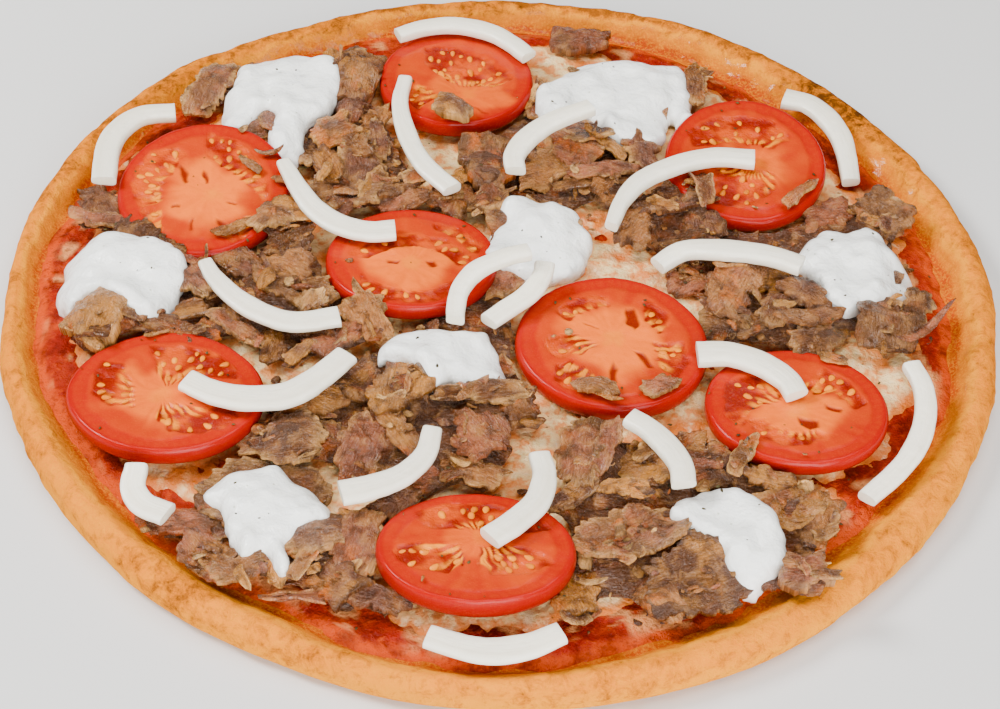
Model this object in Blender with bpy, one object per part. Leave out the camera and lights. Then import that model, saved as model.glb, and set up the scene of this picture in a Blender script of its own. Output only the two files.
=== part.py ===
"""A round doner kebab pizza: a dough base with a raised rim, tomato sauce, melted cheese, eight tomato
slices, heaps of shaved meat, strips of raw onion and dollops of white garlic sauce.

Lengths below are in millimetres and angles in degrees. Meshes are made in metres.
The pieces are laid one after another, as on the real thing: each one rests on the pile below it.
"""

import math
import random

import bmesh
import bpy
import numpy as np
from mathutils import Vector
from mathutils.bvhtree import BVHTree

MM = 0.001
SEED = 7

# The dough
RADIUS = 150.0
RIM_HEIGHT = 11.0
BED_HEIGHT = 5.0
RIM_WIDTH = 13.8
CRUST_SIDES = 72
# Slow waves of the hand-stretched outline: how many round the rim, depth, and where a crest lies
OUTLINE_WAVES = ((2, 0.3, -22), (3, 1.1, 108), (4, 0.3, -174), (5, 0.4, -16), (11, 0.25, 40), (17, 0.2, 75))
WIDTH_WAVES = ((1, 2.0, 25), (4, 2.2, 180), (9, 0.6, 30))
HEIGHT_WAVES = ((2, 0.5, 60), (5, 0.5, 10), (8, 0.35, 120))

# The spread layers
GAP = 0.3
SAUCE_THICK = 1.2
SAUCE_SIDES = 48
SAUCE_WAVES = ((3, 0.5, 20), (7, 0.8, 50), (13, 0.7, 10))
CHEESE_THICK = 1.8
CHEESE_INSET = 10.0
CHEESE_SIDES = 40
CHEESE_WAVES = ((2, 1.5, 80), (5, 2.2, 30), (9, 1.6, 140), (14, 1.2, 60))
CHEESE_RINGS = (0.97, 0.78, 0.54, 0.27)
CHEESE_BUMP = 0.45

# Plan places were read at one height from one eye point. A piece that lies higher moves towards the eye.
EYE = (0.0, -499.0, 477.0)
READ_HEIGHT = 9.0

TOMATO_SIDES = 20
TOMATO_CHAMBERS = 5
CHAMBER_DEPTH = 0.8
# Tomato slices: x, y, half width, half depth, thickness, how far the far side is raised
TOMATOES = (
    (-18, 103, 25.5, 26, 6.5, -2),
    (-95, 41, 27, 30, 6.0, 3),
    (77, 65, 25.5, 29, 6.0, 3),
    (-28, 11.5, 26, 24, 6.0, -3),
    (33.5, -20, 28.5, 28, 6.5, 0),
    (-95, -49, 28, 25.5, 6.5, -3),
    (86.5, -44.5, 26.5, 24.5, 6.0, -3),
    (-4, -103.5, 27, 21.5, 7.5, -5),
)

# Kinds of meat piece: thickness, and how far its middle rises above its edge
MEAT_KINDS = {"slab": (3.2, 0.8), "chunk": (7.5, 1.6), "strip": (2.4, 0.6)}
MEAT_SIDES = 6
MEAT_REACH = 4
LEAST_THICK = 0.9
CORE_THICK = 1.6
CORE_REACH = 8
CORE_MARGIN = 3.0
# Heaps of meat. Each piece: kind, x, y, length, width, heading, height above the cheese, tip to its side
HEAPS = {
    "meat_north_west": (
        ("chunk", -52, 104, 27, 21, 80, 0, 6), ("slab", -99, 92, 28, 13, 75, 0, 8),
        ("slab", -70, 95, 30, 24, 10, 0, 0), ("strip", -78, 77, 21, 6, 95, 4, 0),
        ("slab", -83, 69, 17, 12, 20, 1, 5), ("slab", -52, 84, 15, 12, 70, 2, -6),
        ("slab", -57, 70, 17, 12, 30, 4, 10), ("slab", -49, 66, 15, 10, 120, 5, -8),
        ("strip", -57, 53, 19, 8, -60, 5, 14), ("slab", -66, 62, 19, 11, -50, 1, -8),
        ("slab", -46, 53, 21, 14, 100, 2, 6), ("slab", -51, 40, 30, 18, 15, 2, -10),
        ("slab", -32, 49, 19, 9, 45, 5, -10), ("slab", -33, 38, 16, 11, 30, 2, 6),
    ),
    "meat_north": (
        ("chunk", -6, 63, 23, 17, 85, 1, 6), ("slab", -17, 41, 18, 14, 80, 1, 5),
        ("slab", -5, 42, 17, 13, 70, 3, -8), ("slab", 12, 55, 22, 16, 30, 0, 0),
        ("slab", 21, 68, 26, 13, 150, 2, -10), ("slab", 25, 79, 23, 12, 160, 4, 8),
        ("slab", 43, 67, 21, 10, 100, 2, 8), ("strip", 32, 58, 23, 6, 5, 5, 0),
        ("slab", 35, 49, 19, 14, 60, 3, 8), ("slab", 36, 96, 40, 30, 5, 0, 0),
        ("slab", 62, 105, 27, 9, 86, 2, -8), ("slab", 11, 91, 17, 10, 80, 1, 8),
        ("slab", 10, 29, 27, 24, 0, 0, 0),
    ),
    "meat_east": (
        ("slab", 52, 44, 27, 18, 25, 3, -10), ("slab", 61, 48, 19, 8, 100, 6, 14),
        ("slab", 40, 31, 18, 14, 60, 3, 8), ("slab", 61, 32, 15, 13, 100, 3, -6),
        ("slab", 70, 5, 29, 15, 65, 4, 12), ("slab", 58, 10, 21, 15, 30, 0, 5),
        ("slab", 84, 11, 24, 17, 20, 0, 0), ("slab", 84, -5, 18, 13, 70, 3, -10),
        ("strip", 93, -7, 23, 6, 15, 6, 8), ("slab", 92, 3, 17, 12, -40, 4, 6),
        ("slab", 94, -16, 19, 12, 25, 3, 10), ("slab", 78, -13, 19, 13, 0, 1, -5),
        ("slab", 67, -12, 18, 13, -20, 2, 6), ("slab", 117, -8, 26, 21, 80, 4, 6),
        ("slab", 110, 16, 32, 26, 60, 0, 0), ("slab", 119, 43, 21, 17, -45, 2, 8),
    ),
    "meat_west": (
        ("chunk", -119, -17, 24, 18, 70, 1, -8), ("slab", -114, 4, 34, 30, 60, 0, 0),
        ("slab", -104, -20, 23, 8, -5, 3, 8), ("slab", -89, -24, 12, 10, 20, 3, 0),
        ("strip", -78, -20, 24, 7, -35, 5, -8), ("strip", -58, -30, 13, 5, 60, 5, 0),
        ("slab", -49, -24, 19, 15, 50, 3, -8), ("slab", -63, -2, 29, 15, -20, 4, -6),
        ("slab", -75, -8, 22, 16, -10, 0, 0), ("slab", -66, 19, 22, 13, 80, 4, -8),
        ("slab", -72, 28, 15, 10, 30, 5, 8), ("slab", -92, 1, 22, 13, -60, 2, 6),
        ("slab", -80, 8, 18, 12, -30, 2, -6), ("slab", -40, -14, 23, 12, -65, 4, 8),
    ),
    "meat_south": (
        ("slab", -28, -43, 29, 18, 85, 4, -6), ("slab", -59, -64, 28, 22, 15, 3, -8),
        ("slab", -54, -50, 23, 13, -5, 1, 5), ("strip", -29, -58, 23, 7, -55, 6, 10),
        ("slab", -37, -67, 25, 14, 75, 2, 8), ("slab", -15, -30, 30, 24, 0, 0, 0),
        ("slab", -3, -62, 23, 17, -60, 3, -8), ("slab", -6, -75, 21, 10, -20, 2, 8),
        ("slab", 6, -49, 17, 13, -70, 2, 10), ("slab", -12, -47, 15, 11, 10, 2, 0),
        ("slab", -1, -44, 17, 9, 10, 4, 6), ("slab", -26, -89, 18, 11, 60, 2, 6),
        ("slab", 0, 4, 16, 12, 40, 1, 6),
    ),
    "meat_south_west": (
        ("slab", -47, -99, 20, 14, 20, 4, -8), ("slab", -36, -101, 23, 15, 80, 4, 10),
        ("slab", -75, -92, 14, 11, 30, 2, 6), ("slab", -86, -97, 24, 9, -5, 1, 0),
        ("slab", -62, -90, 34, 26, 0, 0, 0), ("slab", -75, -107, 19, 14, -30, 2, -6),
        ("slab", -67, -112, 17, 8, 25, 4, 8), ("strip", -57, -111, 13, 6, -80, 5, 8),
        ("strip", -50, -111, 14, 6, 60, 5, -8), ("slab", -42, -116, 23, 12, -30, 2, 6),
        ("slab", -30, -121, 18, 9, -20, 1, 0),
    ),
    "meat_south_east": (
        ("slab", 24, -67, 27, 14, 80, 3, -8), ("slab", 31, -64, 21, 8, 75, 5, 10),
        ("slab", 43, -69, 22, 18, 20, 1, 0), ("strip", 35, -79, 18, 6, -8, 5, 6),
        ("strip", 22, -82, 21, 7, 40, 3, 8), ("slab", 38, -95, 31, 21, 30, 3, -10),
        ("slab", 54, -110, 30, 24, 25, 3, 8), ("slab", 45, -118, 19, 9, -50, 2, 6),
        ("slab", 23, -117, 21, 12, -75, 2, -8), ("slab", 61, -68, 17, 14, 20, 2, 6),
        ("strip", 70, -63, 18, 6, 70, 7, 0), ("slab", 76, -73, 16, 9, -10, 4, 8),
        ("slab", 82, -82, 21, 15, 35, 4, -8), ("slab", 90, -86, 17, 12, 60, 3, 6),
        ("chunk", 85, -106, 14, 12, 10, 0, 5), ("slab", 64, -90, 32, 24, -40, 0, 0),
    ),
    "meat_rim_west": (
        ("slab", -127, 33, 18, 11, -60, 1, 6), ("strip", -125, 25, 20, 6, 0, 3, 6),
    ),
}
# Single scraps of meat that lie on the tomato slices, written as the pieces of the heaps are
SCRAPS = {
    "meat_scrap_north": ("chunk", -19, 81, 16, 10, -30, 0, 6),
    "meat_scrap_leaf": ("slab", 92, 43, 21, 6, 52, 0, 0),
    "meat_scrap_rim": ("chunk", 24, 132, 22, 13, 5, 0, 0),
    "meat_scrap_curl": ("strip", -84, 18, 17, 6, 30, 0, 0),
    "meat_scrap_south": ("slab", 28, -45, 13, 8, -15, 0, 0),
    "meat_scrap_pink": ("slab", 47, -43, 14, 9, 20, 0, 0),
}

ONION_SECTIONS = 9
ONION_THICK = 3.8
ONION_REACH = 2.0
ONION_STIFFNESS = 40
# Onion strips: three plan points on the arc (start, middle, end), then the width
ONIONS = {
    "onion_01": ((-110, 79), (-124, 72), (-127, 43), 7.5),
    "onion_02": ((-38, 125), (-19, 132), (4, 116), 5.0),
    "onion_03": ((-35, 101), (-33, 71), (-17, 46), 5.0),
    "onion_04": ((28, 89), (10, 78), (3, 57), 6.5),
    "onion_05": ((92, 98), (106, 87), (110, 58), 6.0),
    "onion_06": ((80, 66), (50, 59), (33, 32), 6.0),
    "onion_07": ((49, 15), (71, 22), (93, 16), 6.0),
    "onion_08": ((-71, 54), (-56, 31), (-34, 24), 7.0),
    "onion_09": ((-90, 6), (-73, -12), (-49, -15), 7.0),
    "onion_10": ((-13, -12), (-7, 8), (7, 18), 6.0),
    "onion_11": ((13, 10), (8, -3), (-3, -13), 6.0),
    "onion_12": ((-89, -46), (-66, -49), (-45, -31), 7.5),
    "onion_13": ((-42, -84), (-25, -75), (-18, -60), 7.0),
    "onion_14": ((13, -67), (13, -84), (0, -98), 6.5),
    "onion_15": ((-100, -78), (-98, -90), (-89, -95), 6.5),
    "onion_16": ((59, -25), (77, -27), (87, -39), 7.5),
    "onion_17": ((38, -51), (49, -62), (53, -76), 6.5),
    "onion_18": ((121, -25), (122, -51), (104, -78), 6.0),
    "onion_19": ((-16, -133), (2, -137), (19, -130), 6.5),
}

# Strips that cross another strip and lie on it
TOP_ONIONS = ("onion_10",)

DOLLOP_SIDES = 20
DOLLOP_RISE = 5.5
DOLLOP_EDGE = 1.4
DOLLOP_REACH = 5.5
DOLLOP_STIFFNESS = 8
# Dollops of garlic sauce: the middle, then lobes as x, y, radius
DOLLOPS = {
    "dollop_1": (
        (-76, 92), ((-76, 97, 17), (-87, 84, 7.5), (-70, 80, 11), (-69, 67, 6), (-85, 104, 7)),
    ),
    "dollop_2": (
        (36, 99), ((36, 100, 20), (17, 94, 10), (51, 113, 8), (30, 112, 9), (57, 92, 5), (40, 82, 10)),
    ),
    "dollop_3": (
        (-114, 4), ((-114, 4, 17), (-126, 13, 8), (-129, -8, 5), (-106, -9, 9), (-105, 12, 9)),
    ),
    "dollop_4": (
        (11, 27), ((11, 28, 14), (0, 36, 6), (21, 38, 5), (25, 27, 5), (4, 17, 7), (18, 15, 6), (9, 11, 4)),
    ),
    "dollop_5": (
        (-15, -28), ((-14, -28, 11), (-29, -24, 6), (-4, -22, 5.5), (0, -35, 5), (-18, -39, 5)),
    ),
    "dollop_6": (
        (111, 17), ((112, 17, 15), (96, 23, 5), (102, 33, 5), (114, 32, 6), (104, 1, 6), (121, 12, 7)),
    ),
    "dollop_7": (
        (-62, -88), ((-62, -88, 13.5), (-76, -83, 5), (-65, -79, 7), (-50, -92, 6), (-65, -102, 6)),
    ),
    "dollop_8": (
        (67, -90), ((66, -84, 10.5), (53, -85, 5), (74, -96, 8), (70, -103, 6), (59, -88, 6)),
    ),
}

# Name: colour and roughness
MATERIALS = {
    "baked_dough": ((0.80, 0.50, 0.20), 0.62),
    "tomato_sauce": ((0.55, 0.06, 0.015), 0.32),
    "melted_cheese": ((0.78, 0.55, 0.30), 0.40),
    "tomato": ((0.72, 0.07, 0.03), 0.25),
    "doner_meat": ((0.28, 0.16, 0.09), 0.55),
    "raw_onion": ((0.84, 0.80, 0.74), 0.30),
    "garlic_sauce": ((0.90, 0.90, 0.86), 0.30),
}

# The height map of the pile: half its width, the height it is looked down from, and how far a piece looks
GRID_HALF = 158
SKY = 90.0
NEAR = 3
DOWN = Vector((0, 0, -1))


def waves(theta, terms):
    """Sum of slow waves round the pizza, at the angle theta in radians."""
    return sum(depth * math.cos(count * theta - math.radians(crest)) for count, depth, crest in terms)


def crust_radius(theta):
    return RADIUS + waves(theta, OUTLINE_WAVES)


def bed_radius(theta):
    """Where the rim's inner slope meets the flat bed."""
    return crust_radius(theta) - RIM_WIDTH - waves(theta, WIDTH_WAVES)


def towards_eye(x, y, z):
    """The true plan place of a point at height z that was read at (x, y) on the plane of READ_HEIGHT."""
    share = (z - READ_HEIGHT) / (EYE[2] - READ_HEIGHT)
    return x + (EYE[0] - x) * share, y + (EYE[1] - y) * share


class Pile:
    """Height of the finished pile on a grid of one point per millimetre."""

    def __init__(self):
        self.height = np.zeros((2 * GRID_HALF + 1, 2 * GRID_HALF + 1))

    def add(self, obj):
        """Raises the pile to the top of an object, by looking down on it."""
        mesh = obj.data
        points = [v.co / MM for v in mesh.vertices]
        tree = BVHTree.FromPolygons(points, [tuple(p.vertices) for p in mesh.polygons])
        xs = [p.x for p in points]
        ys = [p.y for p in points]
        for i in range(math.floor(min(xs)), math.ceil(max(xs)) + 1):
            for j in range(math.floor(min(ys)), math.ceil(max(ys)) + 1):
                hit = tree.ray_cast(Vector((i, j, SKY)), DOWN)[0]
                if hit is not None:
                    row, column = i + GRID_HALF, j + GRID_HALF
                    self.height[row, column] = max(self.height[row, column], hit.z)

    def top(self, x, y, reach):
        """The highest point of the pile within reach of (x, y)."""
        low_x, high_x = math.floor(x - reach) + GRID_HALF, math.ceil(x + reach) + GRID_HALF + 1
        low_y, high_y = math.floor(y - reach) + GRID_HALF, math.ceil(y + reach) + GRID_HALF + 1
        return float(self.height[max(low_x, 0) : high_x, max(low_y, 0) : high_y].max())


def material(name):
    made = bpy.data.materials.get(name)
    if made is None:
        colour, roughness = MATERIALS[name]
        made = bpy.data.materials.new(name)
        made.use_nodes = True
        shader = made.node_tree.nodes["Principled BSDF"]
        shader.inputs["Base Color"].default_value = (*colour, 1)
        shader.inputs["Roughness"].default_value = roughness
    return made


def new_object(name, points, faces, material_name):
    """A mesh object from points in millimetres, with its faces turned outwards."""
    mesh = bpy.data.meshes.new(name)
    mesh.from_pydata([Vector(p) * MM for p in points], [], faces)
    shape = bmesh.new()
    shape.from_mesh(mesh)
    bmesh.ops.triangulate(shape, faces=shape.faces)
    bmesh.ops.recalc_face_normals(shape, faces=shape.faces)
    shape.to_mesh(mesh)
    shape.free()
    obj = bpy.data.objects.new(name, mesh)
    mesh.materials.append(material(material_name))
    bpy.context.scene.collection.objects.link(obj)
    return obj


def ringed_solid(name, first, rings, last, material_name):
    """A closed solid: a point, then rings of equally many points, then a point."""
    sides = len(rings[0])
    points = [first] + [p for ring in rings for p in ring] + [last]
    end = len(points) - 1
    faces = []
    for k in range(sides):
        following = (k + 1) % sides
        faces.append((0, 1 + following, 1 + k))
        for level in range(len(rings) - 1):
            low, high = 1 + level * sides, 1 + (level + 1) * sides
            faces.append((low + k, low + following, high + following, high + k))
        tip = 1 + (len(rings) - 1) * sides
        faces.append((tip + k, tip + following, end))
    return new_object(name, points, faces, material_name)


def circle_angles(sides):
    return [math.tau * k / sides for k in range(sides)]


def make_crust():
    """The baked dough: a flat foot, a round outer wall, the rim's crown, its inner slope and the bed."""
    # Places across the rim: how far in from the outline, as a share of the width, and the height share
    outer_wall = ((0.24, 0.0), (0.04, 0.16), (0.0, 0.42), (0.05, 0.72), (0.2, 0.94))
    crown_and_slope = ((0.38, 1.0), (0.6, 0.86), (0.8, 0.6))
    angles = circle_angles(CRUST_SIDES)
    rings = []
    for inset, rise in outer_wall + crown_and_slope:
        ring = []
        for theta in angles:
            width = crust_radius(theta) - bed_radius(theta)
            height = RIM_HEIGHT + waves(theta, HEIGHT_WAVES)
            radius = crust_radius(theta) - inset * width
            ring.append((radius * math.cos(theta), radius * math.sin(theta), rise * height))
        rings.append(ring)
    rings.append([(bed_radius(t) * math.cos(t), bed_radius(t) * math.sin(t), BED_HEIGHT) for t in angles])
    return ringed_solid("crust", (0, 0, 0), rings, (0, 0, BED_HEIGHT), "baked_dough")


def make_sauce():
    """The thin red layer over the bed, which shows as a ring inside the rim."""
    low = BED_HEIGHT + GAP
    rings = []
    for inset, height in ((1.0, low), (0.7, low + 0.6 * SAUCE_THICK), (2.6, low + SAUCE_THICK)):
        ring = []
        for theta in circle_angles(SAUCE_SIDES):
            radius = bed_radius(theta) - inset - abs(waves(theta, SAUCE_WAVES))
            ring.append((radius * math.cos(theta), radius * math.sin(theta), height))
        rings.append(ring)
    return ringed_solid("tomato_sauce", (0, 0, low), rings, (0, 0, low + SAUCE_THICK), "tomato_sauce")


def make_cheese(low):
    """The melted cheese, uneven at its edge and on top."""
    chance = random.Random(SEED)
    angles = circle_angles(CHEESE_SIDES)
    edge = [bed_radius(t) - CHEESE_INSET - waves(t, CHEESE_WAVES) for t in angles]
    rings = [[(r * math.cos(t), r * math.sin(t), low) for r, t in zip(edge, angles)]]
    for share in CHEESE_RINGS:
        lift = CHEESE_THICK if share < max(CHEESE_RINGS) else 0.7 * CHEESE_THICK
        ring = []
        for radius, theta in zip(edge, angles):
            height = low + lift + chance.uniform(-CHEESE_BUMP, CHEESE_BUMP)
            ring.append((share * radius * math.cos(theta), share * radius * math.sin(theta), height))
        rings.append(ring)
    return ringed_solid("melted_cheese", (0, 0, low), rings, (0, 0, low + CHEESE_THICK), "melted_cheese")


def tomato_solid(name, place):
    """A slice: flat below, round at the edge, with seed chambers sunk into its face."""
    x, y, half_width, half_depth, thick, middle, slope = place
    # Rings: share of the half width, height share, and whether the ring lies in the seed chambers
    skin = ((0.93, 0.0, 0), (1.0, 0.35, 0), (1.0, 0.75, 0), (0.95, 1.0, 0))
    face = ((0.76, 1.0, 0), (0.58, 1.0, 1), (0.26, 1.0, 0))
    rings = []
    for share, rise, chambered in skin + face:
        ring = []
        for theta in circle_angles(TOMATO_SIDES):
            depth = CHAMBER_DEPTH * chambered * (0.5 + 0.5 * math.cos(TOMATO_CHAMBERS * theta))
            east, north = half_width * share * math.cos(theta), half_depth * share * math.sin(theta)
            ring.append((x + east, y + north, middle + thick * (rise - 0.5) - depth + slope * north))
        rings.append(ring)
    return ringed_solid(name, (x, y, middle - 0.5 * thick), rings, (x, y, middle + 0.5 * thick), "tomato")


def slice_cutter(place):
    """A plain drum a little larger than a tomato slice all round."""
    x, y, half_width, half_depth, thick, middle, slope = place
    rings = []
    for level in (-0.5 * thick - GAP, 0.5 * thick + GAP):
        ring = []
        for theta in circle_angles(TOMATO_SIDES):
            east, north = (half_width + GAP) * math.cos(theta), (half_depth + GAP) * math.sin(theta)
            ring.append((x + east, y + north, middle + level + slope * north))
        rings.append(ring)
    half = 0.5 * thick + GAP
    return ringed_solid("slice_cutter", (x, y, middle - half), rings, (x, y, middle + half), "tomato")


def rest_tomato(pile, row):
    """Finds how high a slice must lie to clear the pile, and where it then shows at its read place."""
    read_x, read_y, half_width, half_depth, thick, raised = row
    slope = raised / (2 * half_depth)
    x, y = towards_eye(read_x, read_y, READ_HEIGHT + thick)
    middle = 0.0
    for share in (1.0, 0.7, 0.35, 0.0):
        for theta in circle_angles(TOMATO_SIDES):
            east, north = half_width * share * math.cos(theta), half_depth * share * math.sin(theta)
            floor = pile.top(x + east, y + north, NEAR) + GAP
            middle = max(middle, floor + thick / 2 - slope * north)
    return x, y, half_width, half_depth, thick, middle, slope


def squared_off(value):
    """Pushes a cosine or sine outwards, which turns an ellipse into a rounded oblong."""
    return math.copysign(abs(value) ** 0.8, value)


def meat_piece(name, pile, row, chance, grow=0.0, foot=None):
    """One shaving: an uneven rounded outline, a domed top and an underside that tapers down to its foot.
    Without a foot height it lies flat on the highest point below it."""
    resting = foot is None
    kind, read_x, read_y, length, width, heading, lift, tip = row
    thick, dome = MEAT_KINDS[kind]
    x, y = towards_eye(read_x, read_y, READ_HEIGHT + lift + thick)
    reach = 0.3 * width if resting else NEAR
    base = pile.top(x, y, reach) + GAP + lift
    along = Vector((math.cos(math.radians(heading)), math.sin(math.radians(heading))))
    across = Vector((-along.y, along.x))
    pitch = 0.0 if resting else math.tan(math.radians(chance.uniform(-6, 6)))
    roll = math.tan(math.radians(tip))
    low_ring, top_ring = [], []
    for theta in circle_angles(MEAT_SIDES):
        share = chance.uniform(0.84, 1.12)
        a = (0.5 * length * share + grow) * squared_off(math.cos(theta))
        b = (0.5 * width * share + grow) * squared_off(math.sin(theta))
        place = Vector((x, y)) + a * along + b * across
        low = base + a * pitch + b * roll
        under = max(low, pile.top(place.x, place.y, MEAT_REACH) + GAP) - grow
        low_ring.append((place.x, place.y, under))
        top_ring.append((place.x, place.y, max(low + thick + grow, under + LEAST_THICK)))
    if resting:
        foot = max(pile.top(x, y, MEAT_REACH) + GAP, sum(p[2] for p in low_ring) / MEAT_SIDES) - grow
    crown = max(foot + LEAST_THICK, base + thick + dome + grow)
    return ringed_solid(name, (x, y, foot), [low_ring, top_ring], (x, y, crown), "doner_meat")


def heap_core(name, pile, rows, grow=0.0):
    """The packed meat under a heap: a low flat piece round the middles of its shavings.
    Returns it with the height of their feet."""
    spots = sorted((row[1], row[2]) for row in rows)
    hull = []
    for order in (spots, spots[::-1]):
        chain = []
        for x, y in order:
            while len(chain) > 1:
                (x0, y0), (x1, y1) = chain[-2:]
                if (x1 - x0) * (y - y0) - (y1 - y0) * (x - x0) > 0:
                    break
                chain.pop()
            chain.append((x, y))
        hull += chain[:-1]
    x, y = (sum(p[axis] for p in hull) / len(hull) for axis in (0, 1))
    low = max(pile.top(px, py, CORE_REACH) for px, py in spots) + GAP
    outline = []
    for px, py in hull:
        away = 1 + (CORE_MARGIN + grow) / math.hypot(px - x, py - y)
        outline.append((x + away * (px - x), y + away * (py - y)))
    heights = (low - grow, low + CORE_THICK + grow)
    rings = [[(px, py, z) for px, py in outline] for z in heights]
    core = ringed_solid(name, (x, y, heights[0]), rings, (x, y, heights[1]), "doner_meat")
    return core, low + 0.5 * CORE_THICK


def combine(name, pieces, operation, base=None):
    """One Boolean on a collection of pieces. The pieces are then removed."""
    group = bpy.data.collections.new(name + "_pieces")
    bpy.context.scene.collection.children.link(group)
    if base is None:
        base, pieces = pieces[0], pieces[1:]
    for piece in pieces:
        bpy.context.scene.collection.objects.unlink(piece)
        group.objects.link(piece)
    if pieces:
        boolean = base.modifiers.new("combine", "BOOLEAN")
        boolean.operation = operation
        boolean.operand_type = "COLLECTION"
        boolean.collection = group
        boolean.solver = "MANIFOLD"
        bpy.context.view_layer.update()
        mesh = bpy.data.meshes.new_from_object(base.evaluated_get(bpy.context.evaluated_depsgraph_get()))
        base.modifiers.clear()
        base.data = mesh
    for piece in pieces:
        bpy.data.objects.remove(piece)
    bpy.data.collections.remove(group)
    base.name = name
    return base


def keep_largest_body(obj):
    """Drops the loose scraps that a cut leaves."""
    shape = bmesh.new()
    shape.from_mesh(obj.data)
    bmesh.ops.triangulate(shape, faces=shape.faces)
    shape.verts.ensure_lookup_table()
    seen, bodies = set(), []
    for start in shape.verts:
        if start in seen:
            continue
        seen.add(start)
        body, unvisited = [start], [start]
        while unvisited:
            here = unvisited.pop()
            for link in here.link_edges:
                other = link.other_vert(here)
                if other not in seen:
                    seen.add(other)
                    body.append(other)
                    unvisited.append(other)
        bodies.append(body)
    bodies.sort(key=len)
    dropped = [v for body in bodies[:-1] for v in body]
    bmesh.ops.delete(shape, geom=dropped, context="VERTS")
    shape.to_mesh(obj.data)
    shape.free()


def lay_heap(name, pile, rows, slices, laid):
    """A heap of meat, fused, and cut clear of the tomato slices and of the heaps laid before it."""

    def pieces_of(other, other_rows, grow):
        if len(other_rows) > 2:
            core, foot = heap_core(other + "_core", pile, other_rows, grow)
        else:
            core, foot = None, max(pile.top(row[1], row[2], MEAT_REACH) for row in other_rows) + GAP - grow
        pieces = [core] if core else []
        for k, row in enumerate(other_rows):
            chance = random.Random(f"{SEED} {other} {k}")
            pieces.append(meat_piece(f"{other}_{k}", pile, row, chance, grow, foot))
        return pieces

    heap = combine(name, pieces_of(name, rows, 0.0), "UNION")
    cutters = [slice_cutter(place) for place in slices]
    for earlier, earlier_rows in laid.items():
        cutters += pieces_of(earlier, earlier_rows, GAP)
    heap = combine(name, cutters, "DIFFERENCE", base=heap)
    keep_largest_body(heap)
    laid[name] = rows
    return heap


def arc_points(start, middle, end, count):
    """Plan points on the circle through three points, from the first to the last."""
    ax, ay, bx, by, cx, cy = *start, *middle, *end
    twice = 2 * (ax * (by - cy) + bx * (cy - ay) + cx * (ay - by))
    sums = [ax * ax + ay * ay, bx * bx + by * by, cx * cx + cy * cy]
    ux = (sums[0] * (by - cy) + sums[1] * (cy - ay) + sums[2] * (ay - by)) / twice
    uy = (sums[0] * (cx - bx) + sums[1] * (ax - cx) + sums[2] * (bx - ax)) / twice
    radius = math.hypot(ax - ux, ay - uy)
    first, half, last = (math.atan2(p[1] - uy, p[0] - ux) for p in (start, middle, end))
    turn = (last - first) % math.tau
    if (half - first) % math.tau > turn:
        turn -= math.tau
    angles = [first + turn * k / (count - 1) for k in range(count)]
    return [(ux + radius * math.cos(a), uy + radius * math.sin(a), a) for a in angles]


def lay_onion(name, pile):
    """A strip of onion: a stiff curved bar that bridges the hollows between the high points below it."""
    start, middle, end, width = ONIONS[name]
    read = arc_points(start, middle, end, ONION_SECTIONS)
    reach = 0.5 * width + ONION_REACH
    lows = [READ_HEIGHT + 3.0] * len(read)
    for _ in range(3):
        places = [towards_eye(x, y, low + 0.5 * ONION_THICK) for (x, y, _), low in zip(read, lows)]
        floors = [pile.top(x, y, reach) + GAP for x, y in places]
        lows = list(floors)
        for _ in range(ONION_STIFFNESS):
            inner = [0.5 * (lows[k - 1] + lows[k + 1]) for k in range(1, len(lows) - 1)]
            ends = [0.5 * (lows[0] + 2 * lows[1] - lows[2]), 0.5 * (lows[-1] + 2 * lows[-2] - lows[-3])]
            lows = [max(f, z) for f, z in zip(floors, [ends[0], *inner, ends[1]])]
    rings = []
    for (x, y), (_, _, angle), low in zip(places, read, lows):
        out = Vector((math.cos(angle), math.sin(angle))) * (0.5 * width)
        rings.append([
            (x - out.x, y - out.y, low), (x + out.x, y + out.y, low),
            (x + out.x, y + out.y, low + ONION_THICK), (x - out.x, y - out.y, low + ONION_THICK),
        ])
    points = [p for ring in rings for p in ring]
    faces = [(0, 1, 2, 3), tuple(range(len(points) - 1, len(points) - 5, -1))]
    for k in range(len(rings) - 1):
        for side in range(4):
            following = (side + 1) % 4
            low, high = 4 * k, 4 * (k + 1)
            faces.append((low + side, low + following, high + following, high + side))
    return new_object(name, points, faces, "raw_onion")


def lobe_edge(middle, lobes, theta):
    """How far the outline of a few round lobes lies from the middle, in the direction theta."""
    best = 0.0
    direction = (math.cos(theta), math.sin(theta))
    for x, y, radius in lobes:
        dx, dy = x - middle[0], y - middle[1]
        along = dx * direction[0] + dy * direction[1]
        beside = abs(-dx * direction[1] + dy * direction[0])
        if beside < radius and along + math.sqrt(radius**2 - beside**2) > 0:
            best = max(best, along + math.sqrt(radius**2 - beside**2))
    return best


def evened(values, span):
    """Each value of a closed ring, averaged with span neighbours on each side."""
    count = len(values)
    steps = range(-span, span + 1)
    return [sum(values[(k + step) % count] for step in steps) / len(steps) for k in range(count)]


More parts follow.
